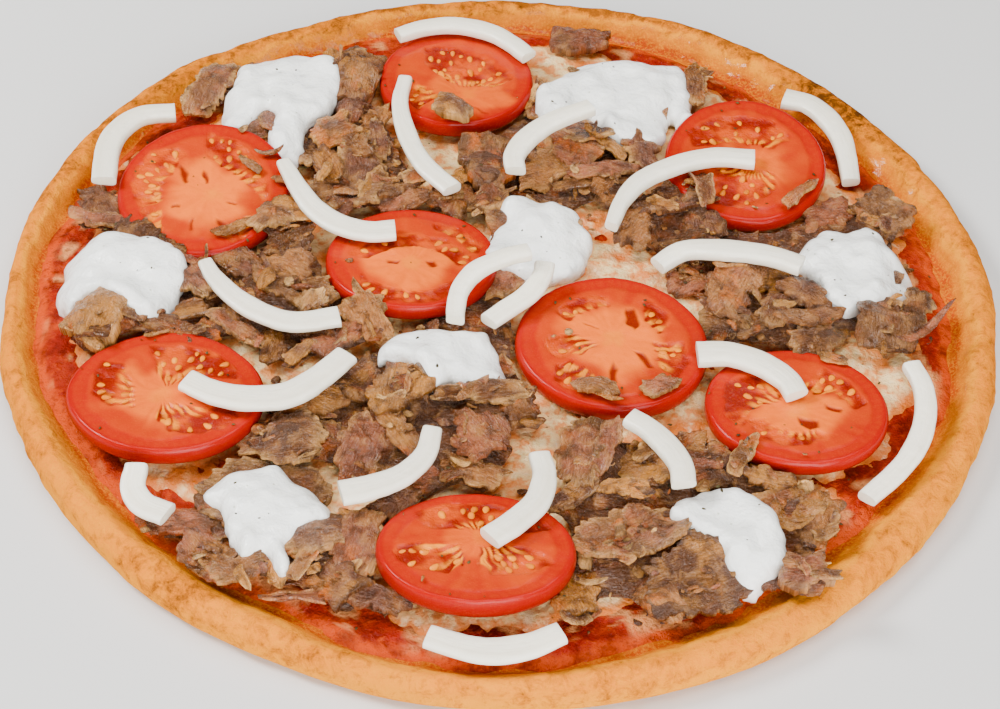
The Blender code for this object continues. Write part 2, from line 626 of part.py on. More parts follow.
def lay_dollop(name, pile):
    """A soft dollop: its underside bridges small hollows of the pile, its top is a low dome with lobes."""
    middle, lobes = DOLLOPS[name]
    angles = circle_angles(DOLLOP_SIDES)
    edges = evened([lobe_edge(middle, lobes, theta) for theta in angles], 1)
    soft = [min(even, edge) for even, edge in zip(evened(edges, 2), edges)]
    seat = pile.top(*towards_eye(*middle, READ_HEIGHT + DOLLOP_RISE), DOLLOP_REACH)
    x, y = towards_eye(*middle, seat + 0.5 * DOLLOP_RISE)

    def under_ring(share, lengths):
        places = []
        for length, theta in zip(lengths, angles):
            places.append((x + share * length * math.cos(theta), y + share * length * math.sin(theta)))
        floors = [pile.top(px, py, DOLLOP_REACH) + GAP for px, py in places]
        levels = floors
        for _ in range(DOLLOP_STIFFNESS):
            levels = [max(even, floor) for even, floor in zip(evened(levels, 1), floors)]
        return [(px, py, level) for (px, py), level in zip(places, levels)]

    under = [under_ring(0.5, soft), under_ring(0.94, edges)]
    centre_low = max(pile.top(x, y, DOLLOP_REACH) + GAP, sum(p[2] for p in under[0]) / DOLLOP_SIDES)
    tops = []
    # From the edge to the crown: share of the edge, share of the rise, and which underside ring lies below
    for share, rise, below in ((1.0, 0.0, 1), (0.8, 0.6, 1), (0.45, 0.93, 0)):
        lengths = edges if share > 0.9 else soft
        lift = DOLLOP_EDGE + rise * (DOLLOP_RISE - DOLLOP_EDGE)
        seats = evened([p[2] for p in under[below]], 2)
        ring = []
        for length, theta, spot, seat in zip(lengths, angles, under[below], seats):
            east, north = share * length * math.cos(theta), share * length * math.sin(theta)
            ring.append((x + east, y + north, max(seat + lift, spot[2] + LEAST_THICK)))
        tops.append(ring)
    crown = max(centre_low + LEAST_THICK, sum(p[2] for p in tops[2]) / DOLLOP_SIDES + 0.5)
    return ringed_solid(name, (x, y, centre_low), under + tops, (x, y, crown), "garlic_sauce")


def main():
    for obj in list(bpy.data.objects):
        bpy.data.objects.remove(obj)
    pile = Pile()
    pile.add(make_crust())
    pile.add(make_sauce())
    pile.add(make_cheese(BED_HEIGHT + SAUCE_THICK + 2 * GAP))
    slices = []
    for number, row in enumerate(TOMATOES, 1):
        place = rest_tomato(pile, row)
        slices.append(place)
        tomato_solid(f"tomato_{number}", place)
    laid = {}
    heaps = [lay_heap(name, pile, rows, slices, laid) for name, rows in HEAPS.items()]
    for number in range(1, len(TOMATOES) + 1):
        pile.add(bpy.data.objects[f"tomato_{number}"])
    for heap in heaps:
        pile.add(heap)
    for name, row in SCRAPS.items():
        pile.add(meat_piece(name, pile, row, random.Random(f"{SEED} {name}")))
    for name in DOLLOPS:
        pile.add(lay_dollop(name, pile))
    for name in sorted(ONIONS, key=lambda onion: onion in TOP_ONIONS):
        pile.add(lay_onion(name, pile))


main()
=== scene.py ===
"""The looks of a doner kebab pizza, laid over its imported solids.

The file is laid out as an add-on and is run as a script. Lengths in the tables are in millimetres
and angles in degrees; meshes are made in metres. +Z is up and -Y is the side nearest the viewer.
"""

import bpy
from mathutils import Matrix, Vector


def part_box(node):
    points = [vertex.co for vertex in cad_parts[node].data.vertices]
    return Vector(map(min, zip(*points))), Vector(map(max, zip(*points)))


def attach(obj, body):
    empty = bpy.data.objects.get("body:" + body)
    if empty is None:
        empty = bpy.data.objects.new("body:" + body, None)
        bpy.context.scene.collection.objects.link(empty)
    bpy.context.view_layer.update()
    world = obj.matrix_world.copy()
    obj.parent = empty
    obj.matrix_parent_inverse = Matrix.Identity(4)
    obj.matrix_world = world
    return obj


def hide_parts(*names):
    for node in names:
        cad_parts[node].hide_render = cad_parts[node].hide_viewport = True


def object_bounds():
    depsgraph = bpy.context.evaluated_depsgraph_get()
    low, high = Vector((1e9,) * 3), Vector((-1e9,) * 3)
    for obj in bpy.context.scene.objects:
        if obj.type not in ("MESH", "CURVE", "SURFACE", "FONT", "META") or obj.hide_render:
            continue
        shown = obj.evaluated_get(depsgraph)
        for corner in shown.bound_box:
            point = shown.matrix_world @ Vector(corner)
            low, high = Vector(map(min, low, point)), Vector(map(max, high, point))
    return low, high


bl_info = {
    "name": "Doner Kebab Pizza",
    "version": (1, 0, 0),
    "blender": (4, 5, 0),
    "location": "3D View > Sidebar > Pizza",
    "description": "Dough, sauce, cheese, meat, tomato, onion and garlic sauce, with a studio stage",
    "category": "Add Mesh",
}

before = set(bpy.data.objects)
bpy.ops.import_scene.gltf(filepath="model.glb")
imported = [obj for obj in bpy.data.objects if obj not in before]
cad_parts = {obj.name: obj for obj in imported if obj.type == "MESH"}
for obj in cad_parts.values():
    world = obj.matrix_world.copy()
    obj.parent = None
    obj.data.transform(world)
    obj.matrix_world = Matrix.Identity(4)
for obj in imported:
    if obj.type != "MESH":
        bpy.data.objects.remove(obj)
CAD_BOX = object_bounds()

import math
import random
from itertools import product

import bmesh
import bpy
import numpy as np
from bpy.props import FloatProperty, FloatVectorProperty, PointerProperty
from mathutils import Matrix, Vector
from mathutils.bvhtree import BVHTree

MM = 0.001
SEED = 11
BODY = "root"

# The dough, as its solid has it
RADIUS = 150.0
RIM_HEIGHT = 11.0
BED_HEIGHT = 5.0
RIM_WIDTH = 13.8
OUTLINE_WAVES = ((2, 0.3, -22), (3, 1.1, 108), (4, 0.3, -174), (5, 0.4, -16), (11, 0.25, 40), (17, 0.2, 75))
WIDTH_WAVES = ((1, 2.0, 25), (4, 2.2, 180), (9, 0.6, 30))
HEIGHT_WAVES = ((2, 0.5, 60), (5, 0.5, 10), (8, 0.35, 120))
RIM_PROFILE = (
    (0.24, 0.0), (0.1, 0.04), (0.04, 0.16), (0.0, 0.42), (0.05, 0.72), (0.2, 0.94), (0.38, 1.0), (0.6, 0.86),
    (0.8, 0.62), (0.92, 0.48), (1.0, BED_HEIGHT / RIM_HEIGHT),
)
RIM_CROWN = 6

# Plan places were read at one height from one eye point. A piece that lies higher moves towards the eye.
EYE = (0.0, -499.0, 477.0)
READ_HEIGHT = 9.0


def smooth_step(low, high, value):
    share = np.clip((value - low) / (high - low), 0, 1)
    return share * share * (3 - 2 * share)


def lumps(points, size, seed):
    """Smooth noise between -1 and 1 at n points, with lumps about size across."""
    scaled = np.asarray(points, dtype=float) / size
    cells = np.floor(scaled).astype(np.int64)
    share = scaled - cells
    share = share * share * (3 - 2 * share)
    total = np.zeros(len(scaled))
    for corner in product((0, 1), repeat=3):
        spot = cells + np.array(corner)
        code = (spot[:, 0] * 73856093) ^ (spot[:, 1] * 19349663) ^ (spot[:, 2] * 83492791) ^ (seed * 668265263)
        code = ((code ^ (code >> 13)) * 1274126177) & 0x7FFFFFFF
        code = ((code ^ (code >> 15)) * 2246822519) & 0x7FFFFFFF
        weight = np.prod(np.where(np.array(corner) == 1, share, 1 - share), axis=1)
        total += weight * (code / 0x3FFFFFFF - 1)
    return total


def rough_lumps(points, size, seed, layers=3):
    """Noise with finer and weaker lumps on the coarse ones."""
    return sum(lumps(points, size / 2**k, seed + k) / 2**k for k in range(layers)) / 1.6


def clouds(points, size, seed):
    """Rough noise about 0.5."""
    return 0.5 + 0.5 * rough_lumps(points, size, seed)


def waves(theta, terms):
    return sum(depth * np.cos(count * theta - math.radians(crest)) for count, depth, crest in terms)


def crust_radius(theta):
    return RADIUS + waves(theta, OUTLINE_WAVES)


def rim_width(theta):
    return RIM_WIDTH + waves(theta, WIDTH_WAVES)


def rim_height(theta):
    return RIM_HEIGHT + waves(theta, HEIGHT_WAVES)


def slope_share(rise, theta):
    """Height shares of the inner slope, stretched so that it ends at the bed under a rim of any height."""
    bed, nominal = BED_HEIGHT / rim_height(theta), BED_HEIGHT / RIM_HEIGHT
    return bed + (rise - nominal) * (1 - bed) / (1 - nominal)


def polar(radius, angle):
    """Points on the ground at a radius and an angle."""
    x, y = radius * np.cos(angle), radius * np.sin(angle)
    return np.column_stack([x, y, np.zeros(len(x))])


def evened(line, reach):
    """A line of values averaged over reach steps to each side."""
    count = 2 * reach + 1
    return np.convolve(np.pad(line, reach, mode="edge"), np.ones(count) / count, mode="valid")


def towards_eye(x, y, z):
    """The true plan place of a point at height z that was read at (x, y) on the plane of READ_HEIGHT."""
    share = (z - READ_HEIGHT) / (EYE[2] - READ_HEIGHT)
    return x + (EYE[0] - x) * share, y + (EYE[1] - y) * share


def mixed(first, second, share):
    """Two colours, or arrays of colours, mixed by an array of shares."""
    share = np.asarray(share)[..., None]
    return np.asarray(first) * (1 - share) + np.asarray(second) * share


# Meshes


def grid_faces(rows, columns, closed=True, start=0):
    """Quads over rows of points. A closed grid joins the last column to the first."""
    row, column = np.meshgrid(np.arange(rows - 1), np.arange(columns if closed else columns - 1), indexing="ij")
    row, column = row.ravel(), column.ravel()
    following = (column + 1) % columns
    low, high = start + row * columns, start + (row + 1) * columns
    return np.stack([low + column, low + following, high + following, high + column], axis=1).tolist()


def ring_faces(rows, columns):
    """Quads over closed rings, with a flat end on the first and the last of them."""
    last = (rows - 1) * columns
    return grid_faces(rows, columns) + [list(range(columns)), list(range(last, last + columns))]


def linked(name, data):
    """A new object in the scene."""
    obj = bpy.data.objects.new(name, data)
    bpy.context.scene.collection.objects.link(obj)
    return obj


def mesh_piece(name, points, faces, finish, colours, grain=None, replaced=(), sharp=None):
    """A smooth mesh from points in millimetres that rides on the pizza, with edges kept above a sharp angle."""
    mesh = bpy.data.meshes.new(name)
    mesh.from_pydata((np.asarray(points, dtype=float) * MM).tolist(), [], faces)
    layer = mesh.color_attributes.new("tint", "FLOAT_COLOR", "POINT")
    layer.data.foreach_set("color", np.column_stack([colours, np.ones(len(points))]).ravel())
    if grain is not None:
        mesh.attributes.new("grain", "FLOAT_VECTOR", "POINT").data.foreach_set("vector", np.asarray(grain).ravel())
    shape = bmesh.new()
    shape.from_mesh(mesh)
    bmesh.ops.recalc_face_normals(shape, faces=shape.faces)
    shape.to_mesh(mesh)
    shape.free()
    mesh.materials.append(finish)
    mesh.polygons.foreach_set("use_smooth", [True] * len(mesh.polygons))
    obj = linked(name, mesh)
    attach(obj, BODY)
    if replaced:
        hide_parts(*replaced)
    if sharp:
        mesh.set_sharp_from_angle(angle=math.radians(sharp))


def coordinates(mesh):
    """A mesh's points as an n × 3 array in millimetres."""
    flat = np.zeros(len(mesh.vertices) * 3)
    mesh.vertices.foreach_get("co", flat)
    return flat.reshape(-1, 3) / MM


def softened_mesh(mesh, voxel, rounds):
    """A mesh remade in even cells and softened: its points in millimetres, their normals and the faces."""
    obj = linked("softening", mesh)
    remesh = obj.modifiers.new("remesh", "REMESH")
    remesh.mode = "VOXEL"
    remesh.voxel_size = voxel
    obj.modifiers.new("soften", "SMOOTH").iterations = rounds
    bpy.context.view_layer.update()
    made = bpy.data.meshes.new_from_object(obj.evaluated_get(bpy.context.evaluated_depsgraph_get()))
    bpy.data.objects.remove(obj)
    outwards = np.zeros(len(made.vertices) * 3)
    made.vertices.foreach_get("normal", outwards)
    return coordinates(made), outwards.reshape(-1, 3), [list(polygon.vertices) for polygon in made.polygons]


class Ground:
    """What a piece lies on, seen from above: the solids of one or more nodes, in millimetres."""

    def __init__(self, *names):
        points, faces = [], []
        for name in names:
            mesh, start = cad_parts[name].data, len(points)
            points += [tuple(p) for p in coordinates(mesh)]
            faces += [[start + v for v in polygon.vertices] for polygon in mesh.polygons]
        self.tree = BVHTree.FromPolygons(points, faces)

    def hit(self, x, y):
        """The height and the upward normal at (x, y), or nothing."""
        place, normal, _, _ = self.tree.ray_cast(Vector((x, y, 90)), Vector((0, 0, -1)))
        return (place.z, normal) if place else None

    def height(self, x, y, otherwise=0.0):
        found = self.hit(x, y)
        return found[0] if found else otherwise


def box_of(name):
    """The lowest and the highest corner of a node, in millimetres."""
    return [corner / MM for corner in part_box(name)]


# Finishes


class Value:
    """A socket of a shader, with the arithmetic that adds Math nodes."""

    def __init__(self, finish, socket):
        self.finish, self.socket = finish, socket

    def math(self, operation, *others):
        return self.finish.node("ShaderNodeMath", {"operation": operation}, dict(enumerate((self, *others))))

    def swapped(self, operation, other):
        return self.finish.node("ShaderNodeMath", {"operation": operation}, {0: other, 1: self})

    def __add__(self, other):
        return self.math("ADD", other)

    __radd__ = __add__

    def __sub__(self, other):
        return self.math("SUBTRACT", other)

    def __rsub__(self, other):
        return self.swapped("SUBTRACT", other)

    def __mul__(self, other):
        return self.math("MULTIPLY", other)

    __rmul__ = __mul__

    def rise(self, low, high):
        """0 below low, 1 above high and smooth between them."""
        settings = {"interpolation_type": "SMOOTHSTEP"}
        return self.finish.node("ShaderNodeMapRange", settings, {"Value": self, "From Min": low, "From Max": high})


class Finish:
    """A procedural material: a Principled shader and what feeds it."""

    def __init__(self, name, **constants):
        self.material = bpy.data.materials.new(name)
        self.material.use_nodes = True
        self.tree = self.material.node_tree
        self.shader = self.tree.nodes["Principled BSDF"]
        for label, value in constants.items():
            self.shader.inputs[label.replace("_", " ")].default_value = value

    def node(self, kind, settings=None, inputs=None, output=0):
        """Any node: its settings first, then the values or links of its sockets."""
        made = self.tree.nodes.new(kind)
        for label, value in (settings or {}).items():
            setattr(made, label, value)
        for label, value in (inputs or {}).items():
            self.feed(made.inputs[label], value)
        return Value(self, made.outputs[output])

    def feed(self, socket, value):
        if isinstance(value, Value):
            self.tree.links.new(value.socket, socket)
        else:
            socket.default_value = value

    def place(self):
        """The place on the pizza, in metres."""
        return self.node("ShaderNodeTexCoord", output="Object")

    def attribute(self, name, output="Color"):
        return self.node("ShaderNodeAttribute", {"attribute_name": name}, output=output)

    def stretched(self, vector, scale):
        return self.node("ShaderNodeVectorMath", {"operation": "MULTIPLY"}, {0: vector, 1: scale})

    def noise(self, vector, size, detail=3.0, roughness=0.55, distortion=0.0):
        """Noise from 0 to 1 with lumps about size metres across."""
        inputs = {
            "Vector": vector, "Scale": 1 / size, "Detail": detail, "Roughness": roughness, "Distortion": distortion,
        }
        return self.node("ShaderNodeTexNoise", None, inputs)

    def cells(self, vector, size):
        """Distance to the nearest of scattered points, about size metres apart."""
        return self.node("ShaderNodeTexVoronoi", None, {"Vector": vector, "Scale": 1 / size})

    def mix(self, share, first, second):
        """Two colours mixed by a share."""
        made = self.tree.nodes.new("ShaderNodeMix")
        made.data_type = "RGBA"
        sockets = {socket.identifier: socket for socket in made.inputs}
        self.feed(sockets["Factor_Float"], share)
        self.feed(sockets["A_Color"], first if isinstance(first, Value) else (*first, 1))
        self.feed(sockets["B_Color"], second if isinstance(second, Value) else (*second, 1))
        return Value(self, next(s for s in made.outputs if s.identifier == "Result_Color"))

    def bump(self, height, depth):
        """A Bump node: height from 0 to 1 stands for depth metres."""
        return self.node("ShaderNodeBump", None, {"Height": height, "Distance": depth})

    def wear(self, **sockets):
        for label, value in sockets.items():
            self.feed(self.shader.inputs[label.replace("_", " ")], value)
        return self.material


# Settings


def tint(name, description, default):
    return FloatVectorProperty(
        name=name, description=description, subtype="COLOR", size=3, min=0.0, max=1.0, default=default
    )


def length(name, description, default):
    return FloatProperty(name=name, description=description, unit="LENGTH", min=0.0, default=default)


class DoughSettings(bpy.types.PropertyGroup):
    golden: tint("Golden", "Crown of the rim", (0.80, 0.215, 0.0004))
    pale: tint("Pale", "Floury side and cream inner slope", (0.85, 0.310, 0.0006))
    tanned: tint("Tanned", "Mottles on the crown", (0.50, 0.122, 0.0006))
    browned: tint("Browned", "Browned patches", (0.22, 0.058, 0.004))
    scorched: tint("Scorched", "Darkest patches", (0.075, 0.024, 0.005))
    oiled: tint("Oiled", "Inner slope, wet with oil", (0.62, 0.150, 0.0001))
    stained: tint("Stained", "Foot of the slope, stained by the sauce", (0.42, 0.034, 0.0002))
    relief: length("Relief", "Height of the wrinkles and blisters", 0.0006)


class SpreadSettings(bpy.types.PropertyGroup):
    sauce: tint("Tomato sauce", "Thick sauce", (0.28, 0.006, 0.0003))
    sauce_dark: tint("Dark sauce", "Baked sauce", (0.11, 0.003, 0.0002))
    sauce_thin: tint("Thin sauce", "Sauce mixed with oil", (0.58, 0.055, 0.0002))
    cheese: tint("Cheese", "Melted cheese", (0.92, 0.62, 0.27))
    cheese_oil: tint("Cheese oil", "Orange oil on the cheese", (0.70, 0.150, 0.003))
    climb: length("Climb", "How far the sauce creeps up the rim", 0.004)


class TomatoSettings(bpy.types.PropertyGroup):
    skin: tint("Skin", "Red skin", (0.36, 0.0012, 0.0003))
    wall: tint("Wall", "Flesh under the skin", (0.40, 0.009, 0.0002))
    core: tint("Core", "Pale flesh of the core", (0.86, 0.145, 0.002))
    gel: tint("Gel", "Clear gel round the seeds", (0.29, 0.010, 0.0002))
    seed: tint("Seed", "Seeds", (0.86, 0.250, 0.001))


class MeatSettings(bpy.types.PropertyGroup):
    grey: tint("Grey", "Grey-brown slices", (0.205, 0.082, 0.025))
    tan: tint("Tan", "Tan slices", (0.330, 0.120, 0.030))
    brown: tint("Brown", "Browned slices", (0.115, 0.038, 0.010))
    pink: tint("Pink", "Pinkish slices", (0.320, 0.092, 0.036))
    gold: tint("Gold", "Fatty yellow slices", (0.480, 0.185, 0.028))
    plum: tint("Plum", "Purple-grey slices", (0.150, 0.054, 0.027))
    fat: tint("Fat", "Clear pale edges", (0.680, 0.360, 0.110))
    crisp: tint("Crisp", "Dark crisp edges", (0.048, 0.015, 0.004))
    grease: tint("Grease", "Orange grease in the hollows", (0.58, 0.110, 0.002))


class WhiteSettings(bpy.types.PropertyGroup):
    onion: tint("Onion", "Raw onion", (0.94, 0.87, 0.71))
    # Onion shade colours the veins and also the painted shade on the undersides of the strips.
    onion_shade: tint("Onion shade", "Veins of the onion", (0.74, 0.66, 0.50))
    garlic: tint("Garlic sauce", "Thick white sauce", (0.95, 0.95, 0.89))
    herb: tint("Herb", "Dried herbs", (0.06, 0.045, 0.012))


class StageSettings(bpy.types.PropertyGroup):
    floor: tint("Floor", "Pale floor", (0.66, 0.65, 0.63))
    lens: FloatProperty(name="Lens", description="Focal length on a 36 mm sensor", default=81.36)
    key: FloatProperty(name="Key light", description="Power of the light at the left", unit="POWER", default=19.0)
    top: FloatProperty(name="Top light", description="Power of the soft light above", unit="POWER", default=14.0)
    fill: FloatProperty(name="Fill light", description="Power of the light in front", unit="POWER", default=25.0)


SETTINGS = {
    "pizza_dough": DoughSettings,
    "pizza_spread": SpreadSettings,
    "pizza_tomato": TomatoSettings,
    "pizza_meat": MeatSettings,
    "pizza_white": WhiteSettings,
    "pizza_stage": StageSettings,
}


# The dough

CRUST_COLUMNS = 480
RIM_ROWS = 52
# Rings of the underside and of the bed, as shares of the rim's first and of its last ring
UNDER_SHARES = (0.05, 0.4, 0.8, 0.95)
BED_SHARES = (0.97, 0.8, 0.4, 0.05)
# Browned patches: angle round the rim, half width in degrees, strength
BROWNED = (
    (41, 10, 0.95), (30, 7, 0.5), (90, 9, 0.55), (117, 7, 0.6), (141, 9, 0.55), (158, 8, 0.5), (62, 5, 0.35),
    (208, 4, 0.35), (236, 8, 0.45), (251, 5, 0.4), (283, 7, 0.3), (318, 6, 0.25), (352, 5, 0.25), (12, 4, 0.25),
)


def rim_profile(count):
    """Points across the rim, from its foot over the crown to the bed: inset share, height share."""
    keys = np.array(RIM_PROFILE)
    steps = np.concatenate([[0], np.cumsum(np.hypot(*np.diff(keys, axis=0).T * np.array([[1.0], [0.8]])))])
    fine = np.linspace(0, steps[-1], 8 * count)
    inset, rise = (np.interp(fine, steps, keys[:, axis]) for axis in (0, 1))
    inset, rise = evened(inset, count // 3), evened(rise, count // 3)
    rise[0] = 0.0
    picks = np.linspace(0, len(fine) - 1, count).astype(int)
    return inset[picks], rise[picks]


def slope_height(inset, theta):
    """Height of the rim's inner slope at a share of its width in from the outline."""
    slope = np.array(RIM_PROFILE[RIM_CROWN:])
    return slope_share(np.interp(inset, slope[:, 0], slope[:, 1]), theta) * rim_height(theta)


class PIZZA_OT_dough(bpy.types.Operator):
    """Makes the baked dough with its raised, blistered rim"""

    bl_idname = "pizza.dough"
    bl_label = "Dough"

    def execute(self, context):
        settings = context.scene.pizza_dough
        theta = np.linspace(0, math.tau, CRUST_COLUMNS, endpoint=False)
        inset, rise = rim_profile(RIM_ROWS)
        inset, angle = np.meshgrid(inset, theta, indexing="ij")
        rise = np.repeat(rise[:, None], CRUST_COLUMNS, axis=1)
        rise = np.where(inset > 0.5, slope_share(rise, angle), rise)
        radius = crust_radius(angle) - inset * rim_width(angle)
        height = rise * rim_height(angle)
        ring = np.stack([radius * np.cos(angle), radius * np.sin(angle), height], axis=-1).reshape(-1, 3)
        skin = smooth_step(0.02, 0.3, rise).ravel()
        depth = settings.relief / MM * (1.6 * rough_lumps(ring, 16, SEED) + 1.1 * rough_lumps(ring, 5, SEED + 9))
        depth += 0.9 * np.maximum(lumps(ring, 9, SEED + 4) - 0.45, 0)
        depth *= skin
        lift = np.clip((inset - 0.02) / 0.3, 0, 1).ravel()
        out = np.stack([np.cos(angle.ravel()), np.sin(angle.ravel())], axis=-1)
        ring[:, :2] += out * (depth * (1 - lift))[:, None]
        ring[:, 2] += depth * lift
        colours, masks = self.colours(settings, ring, angle.ravel(), inset.ravel(), rise.ravel())
        points, colours, grain = self.closed(ring, colours, masks, settings)
        faces = ring_faces(len(points) // CRUST_COLUMNS, CRUST_COLUMNS)
        material = self.finish(settings)
        mesh_piece("baked_crust", points, faces, material, colours, grain, ("crust",))
        return {"FINISHED"}

    def finish(self, settings):
        """Dry dough, broken up into tanned, browned and scorched mottles, with an oily inner slope."""
        finish = Finish(
            "baked_dough_skin", Specular_IOR_Level=0.01, Subsurface_Weight=0.08, Subsurface_Scale=0.003,
            Subsurface_Radius=(1.0, 0.5, 0.2), Coat_Roughness=0.12,
        )
        place = finish.place()
        coarse, fine = finish.noise(place, 0.0042, 6, 0.68, 0.4), finish.noise(place, 0.0008, 4, 0.7)
        grain = finish.attribute("grain", "Vector")
        oil, brown, scorch = (finish.node("ShaderNodeSeparateXYZ", None, {0: grain}, output=k) for k in range(3))
        mottle = coarse * 0.75 + fine * 0.25
        colour = finish.attribute("tint")
        colour = finish.mix(fine.rise(0.46, 0.6) * 0.45, colour, settings.pale)
        # The brown mask also carries the painted shade at the back of the rim, as well as the browning.
        colour = finish.mix((mottle + brown * 0.2).rise(0.49, 0.64) * 0.65, colour, settings.tanned)
        colour = finish.mix((mottle + brown * 0.2).rise(0.6, 0.74) * 0.85, colour, settings.browned)
        colour = finish.mix((mottle + scorch * 0.2).rise(0.64, 0.76) * 0.9, colour, settings.scorched)
        relief = finish.bump(mottle, 0.0016)
        shine = oil * coarse.rise(0.45, 0.65)
        return finish.wear(Base_Color=colour, Normal=relief, Roughness=0.66 - oil * 0.45, Coat_Weight=shine * 0.45)

    def colours(self, settings, ring, angle, inset, rise):
        """Base colours of the rim, and masks of oil, browning and scorching. Towards the back, the browning and the
        more golden crown are partly painted shade.
        """
        coarse, fine = clouds(ring, 11, SEED + 20), clouds(ring, 3.2, SEED + 30)
        uneven = 0.35 * (coarse - 0.5) + 0.2 * (fine - 0.5)
        # Towards the back the crown turns more golden and browner: partly real browning, partly painted shade where
        # less light falls on the back.
        back_browning_and_shade = 0.5 + 0.5 * np.sin(angle)
        crown = smooth_step(0.3, 0.85, rise) * (1 - smooth_step(0.42, 0.62, inset + uneven))
        colour = mixed(settings.pale, settings.golden, np.clip(0.15 + crown * (0.4 + 0.4 * back_browning_and_shade + 0.5 * coarse), 0, 1))
        slope = smooth_step(0.56, 0.74, inset + uneven)
        colour = mixed(colour, settings.oiled, slope * 0.92)
        colour = mixed(colour, settings.stained, 0.9 * smooth_step(0.78, 0.92, inset + 0.8 * uneven))
        brown = crown * (0.1 + 0.75 * back_browning_and_shade**2) * (0.5 + coarse)
        scorch = np.zeros(len(ring))
        for middle, half, strength in BROWNED:
            away = np.abs((angle - math.radians(middle) + math.pi) % math.tau - math.pi)
            patch = strength * np.exp(-((away / math.radians(half)) ** 2)) * smooth_step(0.15, 0.55, rise)
            brown = np.maximum(brown, 1.3 * patch * (1 - smooth_step(0.55, 0.78, inset + uneven)))
            deep = np.clip(1.7 * patch - 0.45, 0, 1)
            scorch = np.maximum(scorch, deep * (1 - smooth_step(0.5, 0.68, inset + uneven)))
        oil = smooth_step(0.54, 0.74, inset + uneven)
        return colour, np.column_stack([oil, brown, scorch])

    def closed(self, ring, colours, masks, settings):
        """The rim's points, colours and masks with those of the flat underside before and of the bed after them."""
        columns = CRUST_COLUMNS
        first, last = ring[:columns, :2], ring[-columns:, :2]
        under = np.concatenate([np.column_stack([first * share, np.zeros(columns)]) for share in UNDER_SHARES])
        bed = np.concatenate([np.column_stack([last * share, np.full(columns, BED_HEIGHT)]) for share in BED_SHARES])
        pale = mixed(settings.pale, settings.browned, 0.15 + 0.35 * clouds(under, 14, SEED + 40))
        oily = mixed(settings.oiled, settings.pale, np.full(len(bed), 0.5))
        grain = np.pad(masks, ((len(under), len(bed)), (0, 0)))
        return np.concatenate([under, ring, bed]), np.concatenate([pale, colours, oily]), grain


# Sauce and cheese

SPREAD_COLUMNS = 360
# Paler cream for the cheese: partly its own paler tone, partly painted highlight.
CHEESE_CREAM_AND_HIGHLIGHT = (0.90, 0.66, 0.38)


def spread_grid(shares, edge, theta):
    """Rings of a round layer for shares of its edge radius: shares, angles, radii, points on the ground and faces."""
    share, angle = np.meshgrid(shares, theta, indexing="ij")
    radius = (share * edge[None, :]).ravel()
    faces = grid_faces(len(shares), len(theta)) + [list(range(len(theta)))]
    return share.ravel(), angle.ravel(), radius, polar(radius, angle.ravel()), faces


